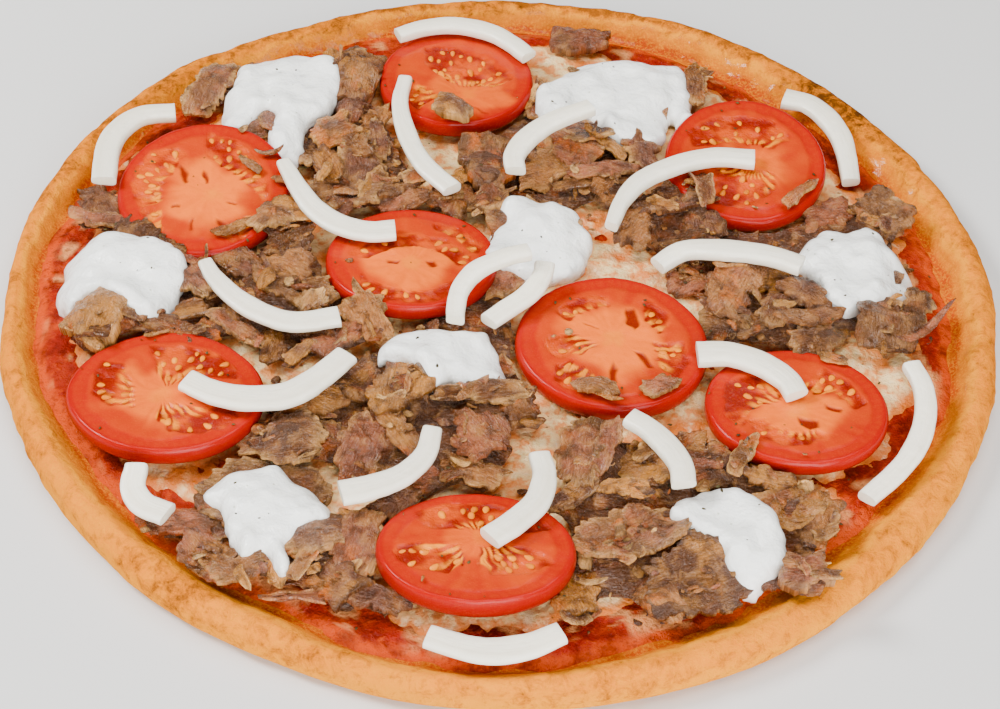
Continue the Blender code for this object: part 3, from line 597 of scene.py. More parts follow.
class PIZZA_OT_spread(bpy.types.Operator):
    """Makes the tomato sauce and the melted cheese"""

    bl_idname = "pizza.spread"
    bl_label = "Sauce and cheese"

    def execute(self, context):
        settings = context.scene.pizza_spread
        theta = np.linspace(0, math.tau, SPREAD_COLUMNS, endpoint=False)
        round_places = polar(RADIUS, theta)
        self.sauce(settings, theta, round_places)
        self.cheese(settings, theta, round_places)
        return {"FINISHED"}

    def sauce(self, settings, theta, round_places):
        climb = settings.climb / MM
        creep = climb * (0.1 + 0.75 * rough_lumps(round_places, 20, SEED + 51, 5))
        edge = crust_radius(theta) - rim_width(theta) + np.clip(creep, -0.5, climb * 1.2)
        shares = np.concatenate([[0.02, 0.3, 0.6, 0.78], np.linspace(0.82, 0.985, 34), [0.993, 1.0]])
        share, angle, radius, points, faces = spread_grid(shares, edge, theta)
        inset = (crust_radius(angle) - radius) / rim_width(angle)
        floor = np.where(inset < 1, slope_height(inset, angle), BED_HEIGHT)
        thick = 1.7 + 0.8 * rough_lumps(points, 7, SEED + 52) + 0.35 * lumps(points, 1.8, SEED + 53)
        thick *= smooth_step(1.0, 0.955, share) * (0.35 + 0.65 * smooth_step(0.7, 1.05, inset))
        points[:, 2] = floor + thick + 0.12
        points[share > 0.999, 2] -= 0.8
        wet = smooth_step(0.25, 0.75, clouds(points, 8, SEED + 55))
        thin = np.clip(smooth_step(1.7, 0.6, thick) + 0.3 * wet - 0.1, 0, 1)
        colours = mixed(settings.sauce, settings.sauce_thin, thin)
        dark = smooth_step(0.0, 0.4, rough_lumps(points, 4, SEED + 58, 4))
        colours = mixed(colours, settings.sauce_dark, dark * 0.7)
        shred = smooth_step(0.26, 0.4, rough_lumps(points * (1, 1, 0), 6.5, SEED + 59, 4))
        shred = shred * smooth_step(0.99, 0.95, share)
        colours = mixed(colours, mixed(settings.cheese_oil, settings.cheese, np.array(0.35)), shred * 0.8)
        finish = Finish("oily_tomato_sauce", Specular_IOR_Level=0.12)
        place = finish.place()
        pulp, grain = finish.noise(place, 0.0022, 5, 0.6), finish.noise(place, 0.0006, 2)
        colour = finish.mix(pulp.rise(0.52, 0.66) * 0.5, finish.attribute("tint"), settings.sauce_thin)
        colour = finish.mix((1 - pulp).rise(0.52, 0.66) * 0.5, colour, settings.sauce_dark)
        relief = finish.bump(pulp + grain * 0.3, 0.0016)
        finish.wear(Base_Color=colour, Normal=relief, Roughness=0.12 + pulp * 0.15)
        mesh_piece("sauce_spread", points, faces, finish.material, colours, None, ("tomato_sauce",))

    def cheese(self, settings, theta, round_places):
        edge = crust_radius(theta) - rim_width(theta) - 7.5 + 5.5 * rough_lumps(round_places, 17, SEED + 60, 5)
        shares = np.concatenate([[0.01], np.linspace(0.03, 0.97, 130), [0.985, 1.0]])
        share, _, _, points, faces = spread_grid(shares, edge, theta)
        low = BED_HEIGHT + 1.2
        thick = 2.0 + 1.3 * rough_lumps(points, 15, SEED + 61) + 1.1 * rough_lumps(points, 4.5, SEED + 62, 4)
        thick -= 2.4 * smooth_step(0.93, 1.0, share)
        points[:, 2] = low + np.clip(thick, -0.3, 3.3)
        oil = smooth_step(2.4, 1.0, thick + 0.9 * rough_lumps(points, 6, SEED + 64))
        colours = mixed(settings.cheese, settings.cheese_oil, oil * 0.9)
        stain = smooth_step(0.1, 0.6, rough_lumps(points, 9, SEED + 65))
        colours = mixed(colours, settings.sauce_thin, stain * 0.45)
        finish = Finish(
            "melted_cheese_skin", Specular_IOR_Level=0.25, Subsurface_Weight=0.15, Subsurface_Scale=0.003,
            Subsurface_Radius=(1.0, 0.6, 0.3),
        )
        place = finish.place()
        blotch, grain = finish.noise(place, 0.004, 5, 0.62), finish.noise(place, 0.0009, 3)
        colour = finish.mix(blotch.rise(0.46, 0.6) * 0.75, finish.attribute("tint"), settings.cheese_oil)
        # Paler cream patches: partly the cheese's own tone, partly painted highlight.
        colour = finish.mix((1 - blotch).rise(0.54, 0.68) * 0.6, colour, CHEESE_CREAM_AND_HIGHLIGHT)
        colour = finish.mix(grain.rise(0.6, 0.76) * 0.25, colour, settings.sauce_thin)
        relief = finish.bump(blotch + grain * 0.3, 0.0016)
        finish.wear(Base_Color=colour, Normal=relief, Roughness=0.12 + blotch * 0.3)
        mesh_piece("cheese_melt", points, faces, finish.material, colours, None, ("melted_cheese",))


# Tomato slices

TOMATO_COLUMNS = 220
FACE_SHARES = np.concatenate([[0.015], np.linspace(0.04, 0.94, 46), [0.96, 0.975, 0.99]])
# Slices: the middle of the core in mm from the slice's own middle, how far its pale flesh reaches as a share of
# the slice, how pale it is, then the outlines of the gel pockets and of the narrow slits
SLICES = {
    "tomato_1": ((4, -9), 0.62, 0.55, (
        ((-11, 15), (-1, 15), (12, 9), (17, 1), (13.5, -5), (1, -4), (-7, 0), (-10, 8)),
        ((-18, -1), (-10, -6), (-5, -12), (-12, -18), (-17, -10)),
    ), (
        ((5, -16), (11, -18), (11, -20), (6, -18)),
        ((-8, 15), (-2, 16), (-2, 14), (-8, 13)),
    )),
    "tomato_2": ((2, -4), 0.62, 1.0, (
        ((-18, 14), (-11.6, 17), (-8.4, 13), (-11.6, 5), (-14, -1), (-11.6, -7.7), (-17, -10), (-21, -4), (-21, 6.5)),
        ((-1.3, 23), (6.5, 21), (13, 14), (18, 5), (19.4, -4), (14, 1.3), (10.3, 5), (3.9, 10.3), (0, 14)),
        ((10, -17), (17, -12), (19, -16), (12, -23), (8, -21)),
        ((-17, -13), (-12, -12), (-10, -20), (-15, -19)),
    ), (
        ((-9, 10), (-6, 6.5), (-4.5, 1.3), (-6, -0.6), (-8, 2.6), (-9.7, 7.7)),
        ((-1.5, 7), (1, 5), (1.5, 0.5), (-0.5, 0), (-2, 3)),
        ((7.7, -6), (12.5, -7), (11, -8.8), (7, -8)),
        ((-9.5, -9), (-5, -10), (-5.5, -12), (-9.5, -11.5)),
        ((-3, -14.5), (-0.8, -14), (-0.5, -20), (-2.7, -20.5)),
        ((4.5, -13.5), (7, -14.2), (12, -19), (10.3, -20.5), (5.2, -17)),
    )),
    "tomato_3": ((3, -3), 0.5, 0.6, (
        ((-17, 12), (-10, 17), (0, 19), (10, 17), (14, 10.3), (7.7, 5), (3.9, 6.5), (-2, 7), (-7.7, 6.5), (-16, 5.2)),
        ((-14, -7.7), (-9, -4.5), (0, -5.8), (7.7, -7.7), (8, -14), (3, -20), (-2.6, -22), (-10, -20), (-14, -14)),
    ), (
        ((-2, -7), (0.6, -7), (0.2, -10.5), (-1.4, -10.5)),
        ((3.4, 10), (5.2, 10.4), (4.6, 6.6), (3.4, 7)),
    )),
    "tomato_4": ((0, -3), 0.66, 0.9, (
        ((-18, 1), (-14, 6), (-6.5, 8.5), (1.3, 10.2), (10.3, 8), (17.4, 2), (18.7, -4), (14, -1.5), (7.7, 4.4),
         (0, 6), (-7.7, 4), (-12.9, -0.6)),
        ((-14.9, -10), (-10.3, -13.5), (-5.2, -16), (2.6, -17), (9, -15), (13.6, -10.6), (12.9, -15.5), (7.7, -19),
         (0, -20), (-7.7, -19), (-13.6, -15.5)),
        ((6.5, 15.5), (13, 15), (20, 7.5), (19.5, 3), (12.9, 10)),
    ), (
        ((-8.4, -1), (-3.2, -1.6), (-3.2, -4.3), (-7.7, -3.9)),
        ((4.5, -0.6), (7.7, -1.3), (9, -4.5), (5.8, -5.5)),
    )),
    "tomato_5": ((0, 0.6), 0.64, 1.0, (
        ((-15.5, 11), (-10.3, 16.5), (-2.6, 18), (-0.6, 15), (-5.2, 13.5), (-9.7, 10.5), (-12.9, 7)),
        ((10.3, 16.5), (14.9, 12.9), (16.5, 7.7), (13.6, 4.5), (10.4, 8.5)),
        ((12.9, -0.6), (20, -0.8), (21, -7.7), (18, -13), (13.6, -10.3)),
        ((-16.8, -11.6), (-11.6, -9.3), (-6.5, -14), (-2.6, -19.5), (-6.5, -21.5), (-11.6, -19.5), (-16.1, -16)),
        ((-18, 0.6), (-11.6, 1.2), (-5.2, -2.6), (-7.7, -5.6), (-15.5, -6.8), (-18.4, -3.9)),
    ), (
        ((3.9, 14.2), (7.7, 14.9), (8.6, 10.3), (8, 5.2), (6.5, 3.2), (3.2, 7)),
        ((5.4, -4), (9, -4.5), (13.4, -11.6), (10.3, -12), (7, -7.7)),
        ((0, -7.6), (1.8, -11.6), (1.6, -17.4), (-1, -17.8), (-1.8, -12.5)),
        ((-9, 7), (-3.4, 4.8), (-4, 3.6), (-9.5, 5.4)),
    )),
    "tomato_6": ((-1, -2), 0.6, 0.75, (
        ((-6, 18), (2.6, 19), (12.9, 15.5), (19, 10.6), (18.5, 6.5), (6.5, 7.7), (2.6, 3.9), (-0.6, 1.9), (-3.9, 7.7)),
        ((-19, 11.6), (-14.2, 9.6), (-10.3, 1.3), (-8, -7), (-14.2, -7.4), (-19, -2.6), (-20.5, 5.5)),
        ((-0.6, -5.8), (3.9, -6.5), (11.6, -7.7), (19.5, -6.5), (21, -10), (17.5, -14), (11, -16.2), (3.9, -16),
         (-1, -11.6)),
    ), (
        ((-12.4, 4), (-10.6, 3), (-9.4, -2), (-11.6, -1)),
        ((-1.5, -7), (1, -8), (2.5, -13), (0, -12)),
    )),
    "tomato_7": ((0, -3), 0.64, 0.9, (
        ((-19, 8), (-11.6, 10), (-6.5, 5.5), (-5.4, 1.3), (-9, 0), (-13, -2.6), (-16, -9.5), (-19.8, -5.2),
         (-20.5, 2.6)),
        ((-13.6, -8.5), (-10.3, -8.2), (-7.1, -11), (-1.3, -11.9), (5.2, -11.2), (7, -13), (1.3, -15.8), (-5.2, -16.2),
         (-10.8, -13.4)),
        ((2.6, 8.6), (9, 15), (15.5, 9.6), (19, 2), (16, 0.5), (10.3, 5.2), (5.2, 5.2)),
    ), (
        ((-0.5, -5.6), (5, -6), (6.2, -9.7), (2.6, -11), (-0.2, -9)),
        ((6.5, 0.4), (13.5, -0.9), (12.6, -4), (7.1, -2.6)),
        ((-6.6, 4.5), (-4, 5), (-4.4, 2.4), (-6.4, 2)),
    )),
    "tomato_8": ((1, 3), 0.55, 0.5, (
        ((-16, 12.5), (-7.7, 16), (5.2, 16), (14, 12.6), (18.4, 7.7), (11.6, 7.2), (3.9, 6.5), (-5.2, 6.5), (-14.2, 7)),
        ((-21, -1.9), (-14.2, -0.6), (-5.2, -1.2), (-2.6, -6.5), (-7.7, -10.3), (-16, -9.6), (-20, -6)),
        ((1.6, -1.2), (10.3, -0.6), (17.5, -2), (19.5, -5.6), (14.2, -9.4), (5.2, -10), (1.6, -6.5)),
    ), ()),
}
# The side of a slice: share of its outline, share of its thickness down
SLICE_SIDE = (
    (1.0, 0.22), (1.008, 0.4), (1.008, 0.6), (0.995, 0.8), (0.965, 0.95), (0.93, 1.0), (0.5, 1.0), (0.02, 1.0),
)
CORE_YELLOW = (0.82, 0.19, 0.001)
GEL_CLEAR = (0.58, 0.062, 0.0003)
GEL_DARK = (0.20, 0.004, 0.0003)
SLIT_PAINTED_SHADE = (0.17, 0.003, 0.0002)
SEED_LENGTH, SEED_WIDTH, SEED_THICK = 2.9, 1.9, 1.0
SEED_SPACING = 2.7


def ellipsoid(length, width, thick, rows=6, columns=8):
    """A small closed seed or grain, longer along X and pointed at one end."""
    phi = np.linspace(0, math.pi, rows + 1)[1:-1]
    theta = np.linspace(0, math.tau, columns, endpoint=False)
    phi, theta = (a.ravel() for a in np.meshgrid(phi, theta, indexing="ij"))
    taper = 1 - 0.35 * np.cos(phi)
    body = np.column_stack([
        np.cos(phi) * length / 2, np.sin(phi) * np.cos(theta) * taper * width / 2,
        np.sin(phi) * np.sin(theta) * taper * thick / 2,
    ])
    points = np.concatenate([body, [[length / 2, 0, 0], [-length / 2, 0, 0]]])
    faces = grid_faces(rows - 1, columns)
    faces += [[len(points) - 2, k, (k + 1) % columns] for k in range(columns)]
    start = (rows - 2) * columns
    faces += [[len(points) - 1, start + (k + 1) % columns, start + k] for k in range(columns)]
    return points, faces


def joined(parts):
    """Several (points, faces, colours, grain) joined into one."""
    points, faces, colours, grain = [], [], [], []
    start = 0
    for part in parts:
        points.append(part[0])
        faces += [[start + v for v in face] for face in part[1]]
        colours.append(part[2])
        grain.append(part[3])
        start += len(part[0])
    return np.concatenate(points), faces, np.concatenate(colours), np.concatenate(grain)


def inside_depth(x, y, outline):
    """How deep each point lies inside an outline, and below nothing how far outside it."""
    corners = np.asarray(outline, dtype=float)
    nearest = np.full(len(x), 1e9)
    inside = np.zeros(len(x), dtype=bool)
    for (ax, ay), (bx, by) in zip(corners, np.roll(corners, -1, axis=0)):
        along = np.clip(((x - ax) * (bx - ax) + (y - ay) * (by - ay)) / ((bx - ax) ** 2 + (by - ay) ** 2), 0, 1)
        nearest = np.minimum(nearest, np.hypot(x - ax - along * (bx - ax), y - ay - along * (by - ay)))
        if ay != by:
            crossing = ax + (y - ay) * (bx - ax) / (by - ay)
            inside ^= ((ay > y) != (by > y)) & (x < crossing)
    return np.where(inside, nearest, -nearest)


class PIZZA_OT_tomatoes(bpy.types.Operator):
    """Makes the tomato slices with their skin, core, gel and seeds"""

    bl_idname = "pizza.tomatoes"
    bl_label = "Tomato slices"

    def execute(self, context):
        settings = context.scene.pizza_tomato
        finish = self.finish(settings)
        for number, (name, row) in enumerate(SLICES.items()):
            points, faces, colours, grain = self.slice(settings, name, row, number)
            mesh_piece(name + "_slice", points, faces, finish, colours, grain, (name,))
        return {"FINISHED"}

    def finish(self, settings):
        finish = Finish(
            "cut_tomato", Specular_IOR_Level=0.15, Subsurface_Weight=0.03, Subsurface_Scale=0.003,
            Subsurface_Radius=(1.0, 0.25, 0.1),
        )
        place = finish.place()
        flesh, fine = finish.noise(place, 0.0024, 4, 0.6), finish.noise(place, 0.0005, 3, 0.6)
        colour = finish.attribute("tint")
        colour = finish.mix(fine.rise(0.5, 0.7) * 0.1, colour, settings.core)
        colour = finish.mix(flesh.rise(0.5, 0.8) * 0.2, colour, settings.wall)
        gel = finish.node("ShaderNodeSeparateXYZ", None, {0: finish.attribute("grain", "Vector")})
        relief = finish.bump(flesh * (0.15 + gel) + fine * 0.12, 0.0006)
        return finish.wear(Base_Color=colour, Normal=relief, Roughness=0.14 - gel * 0.08 + fine * 0.04)

    def slice(self, settings, name, row, number):
        """One slice fitted to its solid's plan, top plane and thickness."""
        low, high = box_of(name)
        middle, half = (low + high) / 2, (high - low) / 2
        ground = Ground(name)
        tilt = self.top_plane(ground, middle, half)
        thick = ground.height(middle.x, middle.y) - self.underside(ground, middle)
        theta = np.linspace(0, math.tau, TOMATO_COLUMNS, endpoint=False)
        share, angle = (a.ravel() for a in np.meshgrid(FACE_SHARES, theta, indexing="ij"))
        wobble = self.outline(theta, number)
        edge = np.tile(wobble, len(FACE_SHARES))
        x, y = share * edge * half.x * np.cos(angle), share * edge * half.y * np.sin(angle)
        depth, colours, gel = self.face(settings, x, y, share, angle, half, row, number)
        top = np.column_stack([middle.x + x, middle.y + y, plane_height(tilt, x, y) - depth])
        rims, rim_colours = self.side(settings, theta, wobble, half, middle, tilt, thick)
        points = np.concatenate([top, rims])
        colours = np.concatenate([colours, rim_colours])
        faces = ring_faces(len(points) // TOMATO_COLUMNS, TOMATO_COLUMNS)
        grain = np.zeros((len(points), 3))
        grain[: len(top), 0] = gel
        parts = [(points, faces, colours, grain)]
        parts += self.seeds(settings, top, share, gel, middle, row, number)
        return joined(parts)

    def top_plane(self, ground, middle, half):
        """Height at the middle and slopes of the solid's face."""
        reach = 0.86
        north, south = (ground.height(middle.x, middle.y + way * reach * half.y) for way in (1, -1))
        east, west = (ground.height(middle.x + way * reach * half.x, middle.y) for way in (1, -1))
        slopes = (east - west) / (2 * reach * half.x), (north - south) / (2 * reach * half.y)
        return (north + south + east + west) / 4, *slopes

    def underside(self, ground, middle):
        return ground.tree.ray_cast(Vector((middle.x, middle.y, -1)), Vector((0, 0, 1)))[0].z

    def outline(self, theta, number):
        """An uneven round with slight random lobes."""
        return 0.988 + 0.022 * lumps(polar(1.0, theta) * 10, 7, number + 70)

    def face(self, settings, x, y, share, angle, half, row, number):
        """Depth below the cut, colour and gel share of each point of the face."""
        (core_x, core_y), reach, paleness, pockets, slits = row
        spot = np.column_stack([x, y, np.full(len(x), 5.0 * number)])
        warp_x = 0.9 * lumps(spot, 6, number + 80) + 0.6 * lumps(spot, 2.4, number + 81)
        warp_y = 0.9 * lumps(spot, 6, number + 82) + 0.6 * lumps(spot, 2.4, number + 83)
        u, v = x + warp_x, y + warp_y
        size = (half.x + half.y) / 2
        radius, bearing = np.hypot(u - core_x, v - core_y), np.arctan2(v - core_y, u - core_x)
        comb = 0.5 + 0.5 * np.sin(bearing * 26 + 2.5 * lumps(spot, 5, number + 86))
        gel, slit, fringe = np.zeros(len(x)), np.zeros(len(x)), np.zeros(len(x))
        for outline in pockets:
            middle = np.mean(outline, axis=0)
            depth = inside_depth(u, v, outline)
            far = math.hypot(middle[0] - core_x, middle[1] - core_y)
            inner = smooth_step(far + 2.5, far - 2.5, radius)
            comb_cut = 1.7 * comb * inner
            gel = np.maximum(gel, smooth_step(-0.5, 0.5, depth - comb_cut + 0.7))
            fringe = np.maximum(fringe, smooth_step(3.8, 1.2, depth) * inner * smooth_step(-0.4, 0.3, depth))
        for outline in slits:
            slit = np.maximum(slit, smooth_step(0.1, 1.2, inside_depth(u, v, outline)))
        wall = smooth_step(0.76, 0.84, share + 0.02 * lumps(spot, 5, number + 84))
        away = radius / size
        pale = paleness * smooth_step(reach - 0.02, reach - 0.26, away + 0.16 * lumps(spot, 6, number + 87))
        rays = 0.5 + 0.5 * lumps(np.column_stack([bearing * 7, radius / 9, np.zeros(len(x))]), 1.0, number + 88)
        cloud = clouds(spot, 6, number + 90)
        colours = mixed(settings.wall, settings.core, np.clip(0.16 * rays + 0.16 * cloud - 0.2 * wall, 0, 1))
        colours = mixed(colours, settings.core, np.clip(pale * (0.8 + 0.3 * rays), 0, 1))
        yellow = paleness * smooth_step(4.2, 1.2, radius + 1.5 * lumps(spot, 2.2, number + 91))
        colours = mixed(colours, CORE_YELLOW, 0.7 * yellow)
        pool = mixed(settings.gel, GEL_CLEAR, smooth_step(0.45, 0.7, cloud))
        pool = mixed(pool, GEL_DARK, smooth_step(0.52, 0.3, cloud) * 0.85)
        colours = colours * (1 - gel[:, None]) + pool * gel[:, None]
        colours = mixed(colours, settings.seed, np.clip(1.3 * fringe * smooth_step(0.3, 0.65, comb), 0, 1) * 0.9)
        # The sunk slits are painted dark red, as painted shade in these recesses.
        colours = mixed(colours, SLIT_PAINTED_SHADE, slit * 0.95)
        colours = mixed(colours, settings.skin, smooth_step(0.90, 0.965, share))
        threads = 0.5 + 0.5 * np.sin(angle * 60 + 3 * lumps(spot, 4, number + 92))
        colours = mixed(colours, settings.core, 0.05 * threads * smooth_step(0.8, 0.88, share) * (share < 0.93))
        relief = 0.6 * gel + 0.5 * slit + 0.25 * rough_lumps(spot, 5, number + 89) - 0.25 * pale + 0.25 * wall
        relief += 0.45 * gel * lumps(spot, 2.2, number + 93)
        relief += 0.9 * smooth_step(0.955, 1.0, share) ** 2
        return relief, colours, np.clip(gel + 0.5 * slit, 0, 1)

    def side(self, settings, theta, wobble, half, middle, tilt, thick):
        """The skin from the edge of the cut down to the underside."""
        rims, colours = [], []
        for share, drop in SLICE_SIDE:
            x, y = share * wobble * half.x * np.cos(theta), share * wobble * half.y * np.sin(theta)
            rims.append(np.column_stack([middle.x + x, middle.y + y, plane_height(tilt, x, y) - drop * thick]))
            shade = np.array(settings.skin) if share > 0.9 else np.array(settings.wall)
            # Lower rings are painted darker, as painted shade towards the underside of the slice.
            colours.append(np.tile(shade * (1 - 0.25 * drop), (len(theta), 1)))
        return np.concatenate(rims), np.concatenate(colours)

    def seeds(self, settings, top, share, gel, middle, row, number):
        """Seeds half sunk in the gel, pointing at the core."""
        (core_x, core_y), pockets = row[0], row[3]
        chance = random.Random(SEED + number)
        body, faces = ellipsoid(SEED_LENGTH, SEED_WIDTH, SEED_THICK)
        x, y = top[:, 0] - middle.x, top[:, 1] - middle.y
        depth = np.max([inside_depth(x, y, outline) for outline in pockets], axis=0)
        spots = [int(k) for k in np.flatnonzero((gel > 0.7) & (share < 0.8) & (depth > 0.9))]
        chance.shuffle(spots)
        taken, parts = [], []
        for k in spots:
            place = top[k]
            if any(math.hypot(place[0] - q[0], place[1] - q[1]) < SEED_SPACING for q in taken):
                continue
            taken.append(place)
            if chance.random() < 0.5:
                continue
            bearing = math.atan2(y[k] - core_y, x[k] - core_x) + chance.uniform(-0.5, 0.5)
            size = chance.uniform(0.7, 1.1)
            turn = Matrix.Rotation(bearing + math.pi, 3, "Z") @ Matrix.Rotation(chance.uniform(-0.3, 0.3), 3, "Y")
            points = body * size @ np.array(turn).T + place + np.array([0, 0, 0.1])
            shade = mixed(settings.seed, settings.gel, np.array(chance.uniform(0.0, 0.45)))
            parts.append((points, faces, np.tile(shade, (len(points), 1)), np.tile([0.7, 0, 0], (len(points), 1))))
        return parts


def plane_height(tilt, x, y):
    return tilt[0] + tilt[1] * x + tilt[2] * y


# Meat

